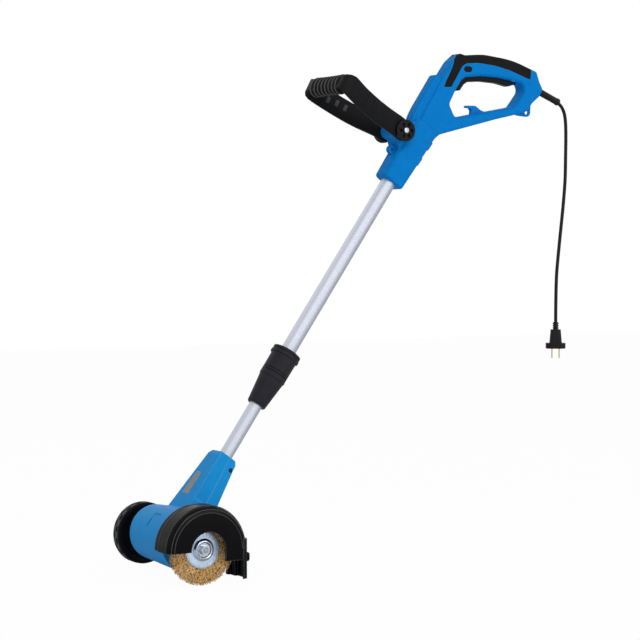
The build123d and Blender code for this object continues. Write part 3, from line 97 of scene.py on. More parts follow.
def new_node(tree, kind, operation=None, clamp=False):
    """Adds a shader node, set to its operation where it has one."""
    node = tree.nodes.new("ShaderNode" + kind)
    if operation:
        node.operation = operation
    if clamp:
        node.use_clamp = True
    return node


def join(tree, *pairs):
    """Links each output socket to the input socket that is paired with it."""
    for start, end in pairs:
        tree.links.new(start, end)


world = bpy.data.worlds.new("studio")
bpy.context.scene.world = world
world.use_nodes = True
tree = world.node_tree
light_path = new_node(tree, "LightPath")
seen_in_gloss = new_node(tree, "Math", "ADD", clamp=True)
seen_by_lens = new_node(tree, "Math", "ADD", clamp=True)
ambient = tree.nodes["Background"]
ambient.inputs["Color"].default_value = (0.95, 0.97, 1.0, 1)
ambient.inputs["Strength"].default_value = ambient_strength
white = new_node(tree, "Background")
white.inputs["Color"].default_value = (1, 1, 1, 1)
white.inputs["Strength"].default_value = 1.0
mix_world = new_node(tree, "MixShader")
join(
    tree,
    (light_path.outputs["Is Glossy Ray"], seen_in_gloss.inputs[0]),
    (light_path.outputs["Is Transmission Ray"], seen_in_gloss.inputs[1]),
    (light_path.outputs["Is Camera Ray"], seen_by_lens.inputs[0]),
    (seen_in_gloss.outputs[0], seen_by_lens.inputs[1]),
    (seen_by_lens.outputs[0], mix_world.inputs[0]),
    (ambient.outputs[0], mix_world.inputs[1]),
    (white.outputs[0], mix_world.inputs[2]),
    (mix_world.outputs[0], tree.nodes["World Output"].inputs["Surface"]),
)

floor_shape = bmesh.new()
bmesh.ops.create_grid(floor_shape, x_segments=1, y_segments=1, size=floor_half)
bmesh.ops.translate(floor_shape, verts=floor_shape.verts, vec=(0, 0, cad_box[0][2] - floor_gap))
floor_mesh = bpy.data.meshes.new("floor")
floor_shape.to_mesh(floor_mesh)
floor_shape.free()
floor = bpy.data.objects.new("floor", floor_mesh)
bpy.context.scene.collection.objects.link(floor)
floor_paint = bpy.data.materials.new("pale_floor")
floor_paint.use_nodes = True
tree = floor_paint.node_tree
shader = tree.nodes["Principled BSDF"]
shader.inputs["Base Color"].default_value = (0.92, 0.92, 0.92, 1)
shader.inputs["Roughness"].default_value = 0.9
shader.inputs["Specular IOR Level"].default_value = 0.0
glow = new_node(tree, "Emission")
glow.inputs["Color"].default_value = (1, 1, 1, 1)
mix_floor = new_node(tree, "MixShader")
light_path = new_node(tree, "LightPath")
glow_share = new_node(tree, "Math", "MULTIPLY")
glow_share.inputs[1].default_value = floor_white
join(
    tree,
    (light_path.outputs["Is Camera Ray"], glow_share.inputs[0]),
    (glow_share.outputs[0], mix_floor.inputs[0]),
    (shader.outputs[0], mix_floor.inputs[1]),
    (glow.outputs[0], mix_floor.inputs[2]),
    (mix_floor.outputs[0], tree.nodes["Material Output"].inputs["Surface"]),
)
floor.data.materials.append(floor_paint)
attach(floor, "head")

middle = (Vector(cad_box[0]) + Vector(cad_box[1])) / 2
for name, place, size, power in lamps:
    lamp_data = bpy.data.lights.new(name, "AREA")
    lamp_data.size = size
    lamp_data.energy = power
    lamp = bpy.data.objects.new(name, lamp_data)
    lamp.location = place
    lamp.rotation_euler = (middle - lamp.location).to_track_quat("-Z", "Y").to_euler()
    bpy.context.scene.collection.objects.link(lamp)

# Mains cord. A black rubber-sheathed two-core flex, 6 mm thick: straight out of its
# sleeve, over in one curve under its own weight, and down to the plug.
mm = 0.001
merge_gap = 2e-6
# Sockets of a colour Mix node: its two colours and its result
mix_a, mix_b, mixed = 6, 7, 2


def paint(red, green, blue):
    """Turns the eight-bit shades of a colour chip into the light that it sends back."""
    return tuple(
        (c / 255 / 12.92) if c < 11 else ((c / 255 + 0.055) / 1.055) ** 2.4 for c in (red, green, blue)
    ) + (1,)


def new_group(name, inputs, outputs):
    """Opens a shader node group with named float, vector and colour sockets."""
    group = bpy.data.node_groups.new(name, "ShaderNodeTree")
    for label, kind, value in inputs:
        socket = group.interface.new_socket(name=label, in_out="INPUT", socket_type=kind)
        socket.default_value = value
    for label, kind in outputs:
        group.interface.new_socket(name=label, in_out="OUTPUT", socket_type=kind)
    return group, group.nodes.new("NodeGroupInput"), group.nodes.new("NodeGroupOutput")


grain_group, given, out = new_group(
    "moulded_grain",
    (
        ("Scale", "NodeSocketFloat", 900.0),
        ("Turn", "NodeSocketVector", (0, 0, 0)),
        ("Stretch", "NodeSocketVector", (1, 1, 1)),
    ),
    (("Grain", "NodeSocketFloat"), ("Cloud", "NodeSocketFloat")),
)
cloud_share = 0.045
where = new_node(grain_group, "TexCoord")
laid = new_node(grain_group, "Mapping")
fine = new_node(grain_group, "TexNoise")
fine.inputs["Detail"].default_value = 3.0
coarse = new_node(grain_group, "TexNoise")
coarse.inputs["Detail"].default_value = 2.0
coarse_scale = new_node(grain_group, "Math", "MULTIPLY")
coarse_scale.inputs[1].default_value = cloud_share
join(
    grain_group,
    (where.outputs["Object"], laid.inputs["Vector"]),
    (given.outputs["Turn"], laid.inputs["Rotation"]),
    (given.outputs["Stretch"], laid.inputs["Scale"]),
    (laid.outputs["Vector"], fine.inputs["Vector"]),
    (laid.outputs["Vector"], coarse.inputs["Vector"]),
    (given.outputs["Scale"], fine.inputs["Scale"]),
    (given.outputs["Scale"], coarse_scale.inputs[0]),
    (coarse_scale.outputs[0], coarse.inputs["Scale"]),
    (fine.outputs["Fac"], out.inputs["Grain"]),
    (coarse.outputs["Fac"], out.inputs["Cloud"]),
)

edge_group, given, out = new_group(
    "rounded_edges",
    (("Radius", "NodeSocketFloat", 0.0006), ("Gain", "NodeSocketFloat", 5.0)),
    (("Edge", "NodeSocketFloat"), ("Normal", "NodeSocketVector")),
)
rounding = new_node(edge_group, "Bevel")
rounding.samples = 4
plain = new_node(edge_group, "NewGeometry")
agreement = new_node(edge_group, "VectorMath", "DOT_PRODUCT")
departure = new_node(edge_group, "Math", "SUBTRACT")
departure.inputs[0].default_value = 1.0
stronger = new_node(edge_group, "Math", "MULTIPLY", clamp=True)
join(
    edge_group,
    (given.outputs["Radius"], rounding.inputs["Radius"]),
    (rounding.outputs["Normal"], agreement.inputs[0]),
    (plain.outputs["Normal"], agreement.inputs[1]),
    (agreement.outputs["Value"], departure.inputs[1]),
    (departure.outputs[0], stronger.inputs[0]),
    (given.outputs["Gain"], stronger.inputs[1]),
    (stronger.outputs[0], out.inputs["Edge"]),
    (rounding.outputs["Normal"], out.inputs["Normal"]),
)


def moulding(
    name, colour, shade, edge_wear_highlight_chip, roughness, grain, height,
    gloss=0.2, metal=0.0, edge=0.6, edge_wear_highlight_gain=6.0, spread=0.08, turn=(0, 0, 0), stretch=(1, 1, 1),
):
    """A finish with cloudy colour, a grain that also varies its gloss, and paler edges that are partly
    rubbed wear and partly painted highlight.

    Colour, shade and edge_wear_highlight_chip are colour chips; height and edge are in millimetres.
    """
    material = bpy.data.materials.new(name)
    material.use_nodes = True
    tree = material.node_tree
    shader = tree.nodes["Principled BSDF"]
    shader.inputs["Specular IOR Level"].default_value = gloss
    shader.inputs["Metallic"].default_value = metal
    texture = new_node(tree, "Group")
    texture.name = "grain"
    texture.node_tree = grain_group
    texture.inputs["Scale"].default_value = grain
    texture.inputs["Turn"].default_value = turn
    texture.inputs["Stretch"].default_value = stretch
    edges = new_node(tree, "Group")
    edges.node_tree = edge_group
    edges.inputs["Radius"].default_value = edge * mm
    edges.inputs["Gain"].default_value = edge_wear_highlight_gain
    tone = new_node(tree, "Mix")
    tone.name = "tone"
    tone.data_type = "RGBA"
    tone.inputs[mix_a].default_value = paint(*shade)
    tone.inputs[mix_b].default_value = paint(*colour)
    # Edges are mixed towards a paler colour: rubbed wear, and on several finishes painted highlight.
    edge_wear_highlight = new_node(tree, "Mix")
    edge_wear_highlight.name = "edge_wear_highlight"
    edge_wear_highlight.data_type = "RGBA"
    edge_wear_highlight.inputs[mix_b].default_value = paint(*edge_wear_highlight_chip)
    sheen = new_node(tree, "MapRange")
    sheen.inputs["To Min"].default_value = roughness - spread
    sheen.inputs["To Max"].default_value = roughness + spread
    bump = new_node(tree, "Bump")
    bump.inputs["Distance"].default_value = height * mm
    join(
        tree,
        (texture.outputs["Cloud"], tone.inputs[0]),
        (tone.outputs[mixed], edge_wear_highlight.inputs[mix_a]),
        (edges.outputs["Edge"], edge_wear_highlight.inputs[0]),
        (edge_wear_highlight.outputs[mixed], shader.inputs["Base Color"]),
        (texture.outputs["Grain"], sheen.inputs["Value"]),
        (sheen.outputs["Result"], shader.inputs["Roughness"]),
        (texture.outputs["Grain"], bump.inputs["Height"]),
        (edges.outputs["Normal"], bump.inputs["Normal"]),
        (bump.outputs["Normal"], shader.inputs["Normal"]),
    )
    return material


def finished(shape, name, body, material, replaced=()):
    """Makes an object of a mesh in the making and fixes it to the body it moves with."""
    mesh = bpy.data.meshes.new(name)
    shape.to_mesh(mesh)
    shape.free()
    mesh.materials.append(material)
    piece = bpy.data.objects.new(name, mesh)
    bpy.context.scene.collection.objects.link(piece)
    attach(piece, body)
    if replaced:
        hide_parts(*replaced)
    return piece


def soften(shape, crease=32):
    """Smooth shading, broken where two faces meet at more than the crease angle."""
    for face in shape.faces:
        face.smooth = True
    for edge in shape.edges:
        edge.smooth = len(edge.link_faces) == 2 and edge.calc_face_angle(0) < radians(crease)


def dressed(node, body, material, crease=32):
    """A merged copy of a moulded or turned piece, smooth across its fillets, in its finish."""
    shape = bmesh.new()
    shape.from_mesh(frame["nodes"][node].data)
    bmesh.ops.remove_doubles(shape, verts=shape.verts, dist=merge_gap)
    soften(shape, crease)
    piece = finished(shape, node + "_finish", body, material, (node,))
    flat = piece.modifiers.new("even_faces", "WEIGHTED_NORMAL")
    flat.keep_sharp = True
    return piece


cord_rubber = moulding(
    "cord_rubber", (20, 20, 22), (13, 13, 15), (52, 53, 56),
    roughness=0.4, grain=1400, height=0.012, gloss=0.16,
)
cord_r = 3 * mm
cord_route = (
    (0, 133.33, -47.10), (0, 151.85, -54.66), (0, 162.8, -67.7), (0, 166.8, -84.3),
    (0, 167.9, -110.0), (0, 167.4, -150.0), (0, 166.6, -203.0), (0, 151.5, -325.0),
    (0, 147.0, -372.0), (0, 147.0, -441.0),
)
cord_curve = bpy.data.curves.new("mains_flex", "CURVE")
cord_curve.dimensions = "3D"
cord_line = cord_curve.splines.new("NURBS")
cord_line.points.add(len(cord_route) - 1)
for point, place in zip(cord_line.points, cord_route):
    point.co = (place[0] * mm, place[1] * mm, place[2] * mm, 1)
cord_line.order_u = 3
cord_line.use_endpoint_u = True
cord_line.resolution_u = 24
cord_curve.bevel_depth = cord_r
cord_curve.bevel_resolution = 6
cord_curve.use_fill_caps = True
cord_curve.materials.append(cord_rubber)
mains_flex = bpy.data.objects.new("mains_flex", cord_curve)
bpy.context.scene.collection.objects.link(mains_flex)
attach(mains_flex, "handle")
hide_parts("mains_cord")

# Plug. Black rubber moulded on to the flex, with a ribbed neck and a finger flange,
# and two flat blades of drawn brass that stand in it with rounded tips.
plug_finish = dressed("plug_body", "handle", cord_rubber, 40)
blade_brass = moulding(
    "blade_brass", (206, 186, 128), (186, 164, 104), (230, 216, 170),
    roughness=0.3, grain=900, height=0.004, gloss=0.5, metal=1.0, stretch=(1, 1, 0.06),
)
blades_finish = dressed("plug_blades", "handle", blade_brass)

# Strain relief. A sleeve of softer rubber, pushed through the rear wall from inside,
# slightly waisted, with fine rings near the end and a bead round its mouth.
relief_foot = Vector((0, 100 * mm, -33.5 * mm))
relief_drop = radians(22.2)
relief_way = Vector((0, cos(relief_drop), -sin(relief_drop)))
relief_side = relief_way.cross(Vector((1, 0, 0)))
relief_rings = 4
relief_ring_start = 35
relief_ring_pitch = 3
seam_gap = 1e-6


def outline(shape, places, closed=False):
    """Draws a line through the places of a profile, ready to be turned."""
    points = [shape.verts.new(place) for place in places]
    for pair in zip(points, points[1:] + (points[:1] if closed else [])):
        shape.edges.new(pair)


def turned(shape, centre, axis, steps):
    """Turns a profile a full circle about an axis and closes the seam."""
    bmesh.ops.spin(
        shape, geom=shape.verts[:] + shape.edges[:], cent=centre, axis=axis,
        angle=2 * pi, steps=steps, use_merge=True,
    )
    bmesh.ops.remove_doubles(shape, verts=shape.verts, dist=seam_gap)
    bmesh.ops.recalc_face_normals(shape, faces=shape.faces)


relief_profile = [
    (-11, 3.05), (-11, 8.0), (-8.5, 8.0), (-8.5, 6.2), (4, 6.2), (20, 6.0), (34, 5.85),
]
for number in range(relief_rings):
    start = relief_ring_start + relief_ring_pitch * number
    relief_profile += [(start, 5.85), (start + 0.5, 5.45), (start + 1.4, 5.45), (start + 1.9, 5.85)]
relief_profile += [
    (48, 5.8), (49.5, 6.35), (51, 6.5), (53, 6.4), (54, 5.7), (54, 3.1), (36.2, 3.05),
]
relief_shape = bmesh.new()
outline(relief_shape, [
    relief_foot + relief_way * along * mm + relief_side * out_r * mm for along, out_r in relief_profile
])
turned(relief_shape, relief_foot, relief_way, 48)
bmesh.ops.holes_fill(relief_shape, edges=relief_shape.edges, sides=60)
bmesh.ops.recalc_face_normals(relief_shape, faces=relief_shape.faces)
soften(relief_shape, 50)
finished(relief_shape, "relief_sleeve", "handle", cord_rubber, ("strain_relief",))

# Handle shells. Two injection-moulded halves in a tough blue plastic with a silky skin,
# which meet along the middle of the tool and are screwed together from the far side.
# Their edges are painted a paler blue, partly rubbed wear and partly painted highlight.
blue_shell = moulding(
    "blue_shell", (8, 127, 206), (5, 118, 195), (60, 160, 228),
    roughness=0.46, grain=1500, height=0.010, gloss=0.025, edge=0.9, edge_wear_highlight_gain=8.0,
)
dressed("handle_shell_left", "handle", blue_shell)
dressed("handle_shell_right", "handle", blue_shell)

# Soft grip. A sleeve of black rubber moulded over the rear of the handle, with a fine
# leather-like grain that keeps it dull. The nose of the handle in front of it is blue.
grip_rubber = moulding(
    "grip_rubber", (30, 28, 30), (22, 21, 22), (48, 48, 50),
    roughness=0.66, grain=2200, height=0.035, gloss=0.06,
)
soft_sleeve = dressed("soft_grip", "handle", grip_rubber)
soft_sleeve.data.materials.append(blue_shell)
nose_point = Vector((0, -106.5 * mm, -38.0 * mm))
nose_out = Vector((0, -54.8, 24.0)).normalized()
nose_sweep = 0.7
nose_half = 16 * mm
nose_shape = bmesh.new()
nose_shape.from_mesh(soft_sleeve.data)
for side in (1, -1):
    bmesh.ops.bisect_plane(
        nose_shape, geom=nose_shape.verts[:] + nose_shape.edges[:] + nose_shape.faces[:],
        plane_co=nose_point + Vector((side * nose_half, 0, 0)),
        plane_no=nose_out - Vector((side * nose_sweep, 0, 0)),
    )
for face in nose_shape.faces:
    centre = face.calc_center_median()
    ahead = (centre - nose_point).dot(nose_out) + nose_sweep * (nose_half - abs(centre.x))
    face.material_index = 1 if ahead > 0 else 0
nose_shape.to_mesh(soft_sleeve.data)
nose_shape.free()

# Trigger and lock-off button. Black nylon mouldings that hang on a pin and on a spring
# in the shells, a little shiny from use.
black_nylon = moulding(
    "black_nylon", (16, 16, 18), (10, 10, 12), (58, 59, 62),
    roughness=0.36, grain=1800, height=0.010, gloss=0.1,
)
dressed("trigger", "trigger", black_nylon)
dressed("lock_off_button", "lock_off_button", black_nylon)

# Switch. A closed box of black phenolic with a white nylon plunger, held in a pocket
# of the shells under the trigger.
switch_phenolic = moulding(
    "switch_phenolic", (30, 29, 28), (22, 21, 20), (70, 68, 66),
    roughness=0.5, grain=1200, height=0.012,
)
white_nylon = moulding(
    "white_nylon", (226, 224, 214), (212, 208, 196), (238, 237, 230),
    roughness=0.45, grain=1500, height=0.010,
)
dressed("switch_body", "handle", switch_phenolic)
dressed("switch_plunger", "switch_plunger", white_nylon)

# Shell screws. Zinc-plated pan-head screws with a cross recess, five of them, driven
# into bosses of the near shell from the bottom of deep round wells.
screw_zinc = moulding(
    "screw_zinc", (196, 200, 204), (168, 173, 180), (226, 229, 232),
    roughness=0.3, grain=1600, height=0.006, gloss=0.5, metal=1.0, edge=0.3,
)
shell_wells = ((-122.98, -109.1), (-117.37, -54.32), (86, -16), (66, -69), (-30, -89))
shell_pan_r = 3.5 * mm
shell_pan_height = 1.2 * mm
shell_pan_proud = 0.5 * mm


def drawn_on(shape, edges):
    """Extrudes a ring of edges in place and gives the points and edges of the new ring."""
    step = bmesh.ops.extrude_edge_only(shape, edges=edges)["geom"]
    points = [part for part in step if isinstance(part, bmesh.types.BMVert)]
    return points, [part for part in step if isinstance(part, bmesh.types.BMEdge)]


def cross_head(place, outward, radius, height):
    """A pan head with a cross recess, standing on a point and looking along its axis."""
    cells = 7
    half = radius * 0.6
    recess = height * 0.6
    crown_r = radius * 0.88
    crown_drop = height * 0.08
    shape = bmesh.new()
    bmesh.ops.create_grid(shape, x_segments=cells, y_segments=cells, size=half)
    arms = [f for f in shape.faces if min(abs(c) for c in f.calc_center_median().xy) < half / cells]
    well = bmesh.ops.extrude_face_region(shape, geom=arms)
    bmesh.ops.delete(shape, geom=arms, context="FACES_ONLY")
    floor_points = [part for part in well["geom"] if isinstance(part, bmesh.types.BMVert)]
    bmesh.ops.translate(shape, verts=floor_points, vec=(0, 0, -recess))
    rim = [e for e in shape.edges if e.is_boundary]
    crown = bmesh.ops.create_circle(shape, segments=28, radius=crown_r)["verts"]
    bmesh.ops.translate(shape, verts=crown, vec=(0, 0, -crown_drop))
    last = list({e for v in crown for e in v.link_edges})
    bmesh.ops.bridge_loops(shape, edges=rim + last)
    for deep in (0.3, 1.0):
        ring, last = drawn_on(shape, last)
        wider = radius / max(v.co.xy.length for v in ring)
        bmesh.ops.scale(shape, verts=ring, vec=(wider, wider, 1))
        bmesh.ops.translate(shape, verts=ring, vec=(0, 0, -deep * height - ring[0].co.z))
    bmesh.ops.remove_doubles(shape, verts=shape.verts, dist=1e-7)
    bmesh.ops.recalc_face_normals(shape, faces=shape.faces)
    turn = Vector((0, 0, 1)).rotation_difference(Vector(outward)).to_matrix().to_4x4()
    bmesh.ops.transform(shape, matrix=Matrix.Translation(place) @ turn, verts=shape.verts)
    soften(shape, 35)
    return shape


dressed("shell_screws", "handle", screw_zinc)
shell_screw_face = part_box("shell_screws")[0].x
for number, (y, z) in enumerate(shell_wells):
    foot = Vector((shell_screw_face - shell_pan_proud, y * mm, z * mm))
    head = cross_head(foot, (-1, 0, 0), shell_pan_r, shell_pan_height)
    finished(head, "shell_screw_head_%d" % (number + 1), "handle", screw_zinc)

# Telescopic tubes. Drawn aluminium, satin anodised, so that faint lines run lengthways:
# the upper one is fixed in the handle, the lower one slides in it with the head.
tube_lean = radians(35.2)
tube_satin = moulding(
    "tube_satin", (188, 192, 202), (183, 187, 197), (208, 212, 218),
    roughness=0.56, grain=600, height=0.0, gloss=0.5, metal=1.0, edge=0.02, spread=0.02,
    turn=(tube_lean, 0, 0), stretch=(1, 1, 0.012),
)
dressed("upper_tube", "handle", tube_satin, 40)
dressed("lower_tube", "head", tube_satin, 40)
dressed("tube_guide", "head", white_nylon)

# Tube clamp. A black nylon collar pressed on the upper tube, with a serrated flange,
# a slit collet inside it and a fluted sleeve that is twisted to lock the lower tube.
collar_nylon = moulding(
    "collar_nylon", (43, 43, 49), (33, 33, 38), (84, 85, 92),
    roughness=0.46, grain=1600, height=0.014, gloss=0.08,
)
dressed("clamp_body", "handle", collar_nylon, 28)
dressed("clamp_collet", "handle", white_nylon)
dressed("twist_sleeve", "twist_sleeve", collar_nylon, 28)

# Collar rings. Two thin dark rings let into the foot of the collar, almost flush, where the twist
# sleeve runs up to it; they stand in for the shade inside two grooves there, as painted shade, and
# show as two dark lines.
groove_painted_shade = moulding(
    "groove_painted_shade", (15, 15, 17), (11, 11, 13), (30, 30, 33),
    roughness=0.6, grain=1600, height=0.010, gloss=0.04,
)
axle_place = Vector(joints["brush_spin"]["pos_m"])
tube_way = Vector((0, sin(tube_lean), cos(tube_lean)))
collar_ring_r = 21.75 * mm
collar_ring_half = 0.65 * mm
collar_ring_stations = (314.5 * mm, 318.8 * mm)
for number, along in enumerate(collar_ring_stations):
    centre = axle_place + tube_way * along
    stand = Matrix.Translation(centre + Vector((collar_ring_r, 0, 0)))
    ring_shape = bmesh.new()
    bmesh.ops.create_circle(
        ring_shape, radius=collar_ring_half, segments=10,
        matrix=stand @ Matrix.Rotation(pi / 2 - tube_lean, 4, "X"),
    )
    turned(ring_shape, centre, tube_way, 72)
    soften(ring_shape, 50)
    finished(ring_shape, "collar_ring_%d" % (number + 1), "handle", groove_painted_shade)

# Front handle. A wide loop in glass-filled black nylon whose two arms clasp the trunk,
# with a cross bar under a ribbed rubber grip, turning stiffly on a bolt. Each station of
# an arm gives its place across and along, half its height, its thickness and its rise.
pivot_place = Vector(joints["front_handle_tilt"]["pos_m"])
loop_along = Vector((0, -0.8763, 0.4818))
loop_up = Vector((0, 0.4818, 0.8763))
loop_round = 1.9 * mm


def loop_point(across, along, rise):
    """A point of the front handle, across the tool, along its arms and above their plane."""
    return Vector((across * mm, 0, 0)) + pivot_place + loop_along * along * mm + loop_up * rise * mm


near_arm = [
    (26.8, -17.0, 5.5, 9.0, 0.0), (26.8, -14.0, 10.6, 9.0, 0.0), (26.8, -8.0, 15.2, 9.0, 0.0),
    (26.8, 0.0, 17.4, 9.0, 0.0), (27.6, 16.0, 17.4, 8.6, 0.8), (31.2, 31.0, 17.4, 7.6, -0.6),
    (36.4, 50.0, 17.6, 6.4, -2.4), (41.3, 70.0, 17.6, 6.0, -3.3), (46.0, 90.0, 17.6, 6.0, -3.2),
    (50.3, 108.0, 17.6, 6.0, -2.7), (53.8, 121.0, 17.6, 6.4, -1.8), (56.8, 132.0, 17.6, 7.0, -0.8),
    (58.4, 140.0, 17.2, 8.0, 0.0), (57.4, 146.0, 15.8, 8.6, 0.4), (53.6, 150.0, 13.4, 9.0, 0.6),
    (46.0, 150.6, 11.8, 9.6, 0.6), (0.0, 147.0, 11.6, 9.6, 0.6),
]
far_arm = [(-x, along, half, thick, rise) for x, along, half, thick, rise in reversed(near_arm[:-1])]
stations = near_arm + far_arm
loop_shape = bmesh.new()
corners = bmesh.ops.create_circle(loop_shape, segments=4, radius=0.5 ** 0.5)["verts"]
bmesh.ops.rotate(loop_shape, verts=corners, cent=(0, 0, 0), matrix=Matrix.Rotation(pi / 4, 3, "Z"))
ring = list(loop_shape.edges)
ring_edges = set(ring)
before = Matrix()
for number, (x, along, half, thick, rise) in enumerate(stations):
    ahead = stations[min(number + 1, len(stations) - 1)]
    behind = stations[max(number - 1, 0)]
    heading = (loop_point(*ahead[:2], ahead[4]) - loop_point(*behind[:2], behind[4])).normalized()
    side = loop_up.cross(heading).normalized()
    rising = heading.cross(side).normalized()
    here = Matrix((side * thick * mm, rising * 2 * half * mm, heading * mm)).transposed().to_4x4()
    here.translation = loop_point(x, along, rise)
    if number:
        corners, ring = drawn_on(loop_shape, ring)
        ring_edges.update(ring)
    bmesh.ops.transform(loop_shape, matrix=here @ before.inverted(), verts=corners)
    before = here
rails = [e for e in loop_shape.edges if e not in ring_edges]
bmesh.ops.holes_fill(loop_shape, edges=loop_shape.edges, sides=4)
bmesh.ops.recalc_face_normals(loop_shape, faces=loop_shape.faces)
bmesh.ops.bevel(
    loop_shape, geom=rails, offset=loop_round, offset_type="OFFSET", segments=3, profile=0.5,
    affect="EDGES", material=-1,
)
soften(loop_shape, 45)
loop_nylon = moulding(
    "loop_nylon", (24, 24, 26), (18, 18, 19), (60, 61, 64),
    roughness=0.5, grain=1600, height=0.014, gloss=0.07,
)
finished(loop_shape, "front_loop", "front_handle", loop_nylon, ("aux_handle",))

grip_half = 43.5
grip_along = 144.5
grip_rise = 1.0
grip_deep = 11.6
grip_high = 14.8
grip_waist = 0.8
grip_end = 1.2
grip_ribs = 8
rib_steps = 12
rib_swell = 1.9
rib_wide = 0.35
rib_worn = 0.55


def rib_wave(share):
    """Runs from -1 in a groove of the grip to 1 on a rib, at a share of its length."""
    return sin(share * grip_ribs * 2 * pi - pi / 2)


grip_shape = bmesh.new()
ring_verts = bmesh.ops.create_circle(grip_shape, segments=36, radius=1.0)["verts"]
ring = list(grip_shape.edges)
grip_turn = Matrix((loop_along, loop_up, Vector((1, 0, 0)))).transposed().to_4x4()
before = Matrix()
steps = rib_steps * grip_ribs
for number in range(steps + 1):
    share = number / steps
    swell = rib_swell * max(0.0, rib_wave(share) + rib_wide) / (1 + rib_wide)
    waist = grip_waist * (2 * share - 1) ** 2
    grown = swell + waist - (grip_end if number in (0, steps) else 0.0)
    here = grip_turn @ Matrix.Diagonal(((grip_deep + grown) * mm, (grip_high + grown) * mm, mm, 1))
    here.translation = loop_point(grip_half * (2 * share - 1), grip_along, grip_rise)
    if number:
        ring_verts, ring = drawn_on(grip_shape, ring)
    bmesh.ops.transform(grip_shape, matrix=here @ before.inverted(), verts=ring_verts)
    before = here
bmesh.ops.holes_fill(grip_shape, edges=grip_shape.edges, sides=40)
bmesh.ops.recalc_face_normals(grip_shape, faces=grip_shape.faces)
soften(grip_shape, 60)
for face in grip_shape.faces:
    share = (face.calc_center_median().x / mm / grip_half + 1) / 2
    face.material_index = 1 if rib_wave(share) > rib_worn else 0
rib_rubber = moulding(
    "rib_rubber", (92, 92, 92), (72, 72, 72), (120, 120, 120),
    roughness=0.62, grain=2200, height=0.035, gloss=0.06,
)
grip_sleeve = finished(
    grip_shape, "front_grip_sleeve", "front_handle", grip_rubber, ("aux_grip",),
)
grip_sleeve.data.materials.append(rib_rubber)

# Finger tabs and ribs of the front handle. Small lands moulded on the inner face of the
# far arm, paler from rubbing, and thin stiffening ribs outside the near arm.
tab_grey = moulding(
    "tab_grey", (74, 76, 80), (58, 60, 64), (110, 112, 116),
    roughness=0.5, grain=1500, height=0.012, gloss=0.1,
)
tab_places = ((111.5, -2.5), (96.0, 0.0), (80.0, 0.0))
tab_sizes = (6.0, 11.0, 1.6)
rib_places = ((96.0, -3.0, 22.0), (80.0, -3.0, 24.0), (72.0, -3.0, 24.0))
rib_width = 2.6
rib_height = 1.6


def land(
    name, place, across, along_way, outward, sizes, material,
    body="front_handle", rounding=0.3,
):
    """A small raised pad with rounded edges, lying on a face of the moulding under it."""
    shape = bmesh.new()
    bmesh.ops.create_cube(shape, size=1)
    bmesh.ops.scale(shape, verts=shape.verts, vec=[size * mm for size in sizes])
    bmesh.ops.bevel(
        shape, geom=shape.edges[:], offset=min(sizes) * rounding * mm, offset_type="OFFSET",
        segments=2, profile=0.5, affect="EDGES", material=-1,
    )
    turn = Matrix((across, along_way, outward)).transposed().to_4x4()
    bmesh.ops.transform(shape, matrix=Matrix.Translation(place) @ turn, verts=shape.verts)
    soften(shape, 40)
    return finished(shape, name, body, material)


def arm_face(along, rise, side):
    """Place, outward direction and run on a face of the near arm: side 1 is its outer face."""
    low, high = next(pair for pair in zip(near_arm, near_arm[1:]) if pair[0][1] <= along <= pair[1][1])
    share = (along - low[1]) / (high[1] - low[1])
    centre = low[0] + (high[0] - low[0]) * share
    thick = low[3] + (high[3] - low[3]) * share
    run = (loop_point(high[0], high[1], 0) - loop_point(low[0], low[1], 0)).normalized()
    outward = loop_up.cross(run).normalized()
    outward = outward if outward.x > 0 else -outward
    place = loop_point(centre, along, rise) + outward * side * thick / 2 * mm
    return place, outward * side, run


flip = Vector((-1, 1, 1))
for number, (along, rise) in enumerate(tab_places):
    place, outward, run = [part * flip for part in arm_face(along, rise, -1)]
    land("arm_tab_%d" % (number + 1), place, run, outward.cross(run), outward, tab_sizes, tab_grey)
for number, (along, rise, long) in enumerate(rib_places):
    place, outward, run = arm_face(along, rise, 1)
    rib_sizes = (rib_width, long, rib_height)
    land("arm_rib_%d" % (number + 1), place, run, outward.cross(run), outward, rib_sizes, black_nylon)

# Trunk steps. Two shallow finger steps moulded across the rear edge of the trunk, where
# the other hand steadies the tool while the front handle is turned.
step_run = Vector((0, 0.626, 0.779))
step_out = Vector((0, 0.779, -0.626))
step_places = ((-129.8, -140.4), (-150.6, -166.5))
step_sizes = (26.0, 18.0, 6.4)
step_sunk = 3.9 * mm
for number, (y, z) in enumerate(step_places):
    place = Vector((0, y * mm, z * mm)) - step_out * step_sunk
    land(
        "trunk_step_%d" % (number + 1), place, Vector((1, 0, 0)), step_run, step_out, step_sizes,
        blue_shell, body="handle", rounding=0.46,
    )

# Pivot. A zinc-plated bolt through both arms, under two round caps with spoke-like
# pockets that press the arms on to the trunk.
pivot_pan_r = 4.6 * mm
pivot_pan_height = 2.4 * mm
pivot_pan_proud = 0.8 * mm
dressed("pivot_caps", "front_handle", black_nylon, 28)
dressed("pivot_bolt", "front_handle", screw_zinc)
pivot_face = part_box("pivot_bolt")[1].x
pivot_foot = Vector((pivot_face + pivot_pan_proud, pivot_place.y, pivot_place.z))
pivot_head = cross_head(pivot_foot, (1, 0, 0), pivot_pan_r, pivot_pan_height)
finished(pivot_head, "pivot_bolt_head", "front_handle", screw_zinc)

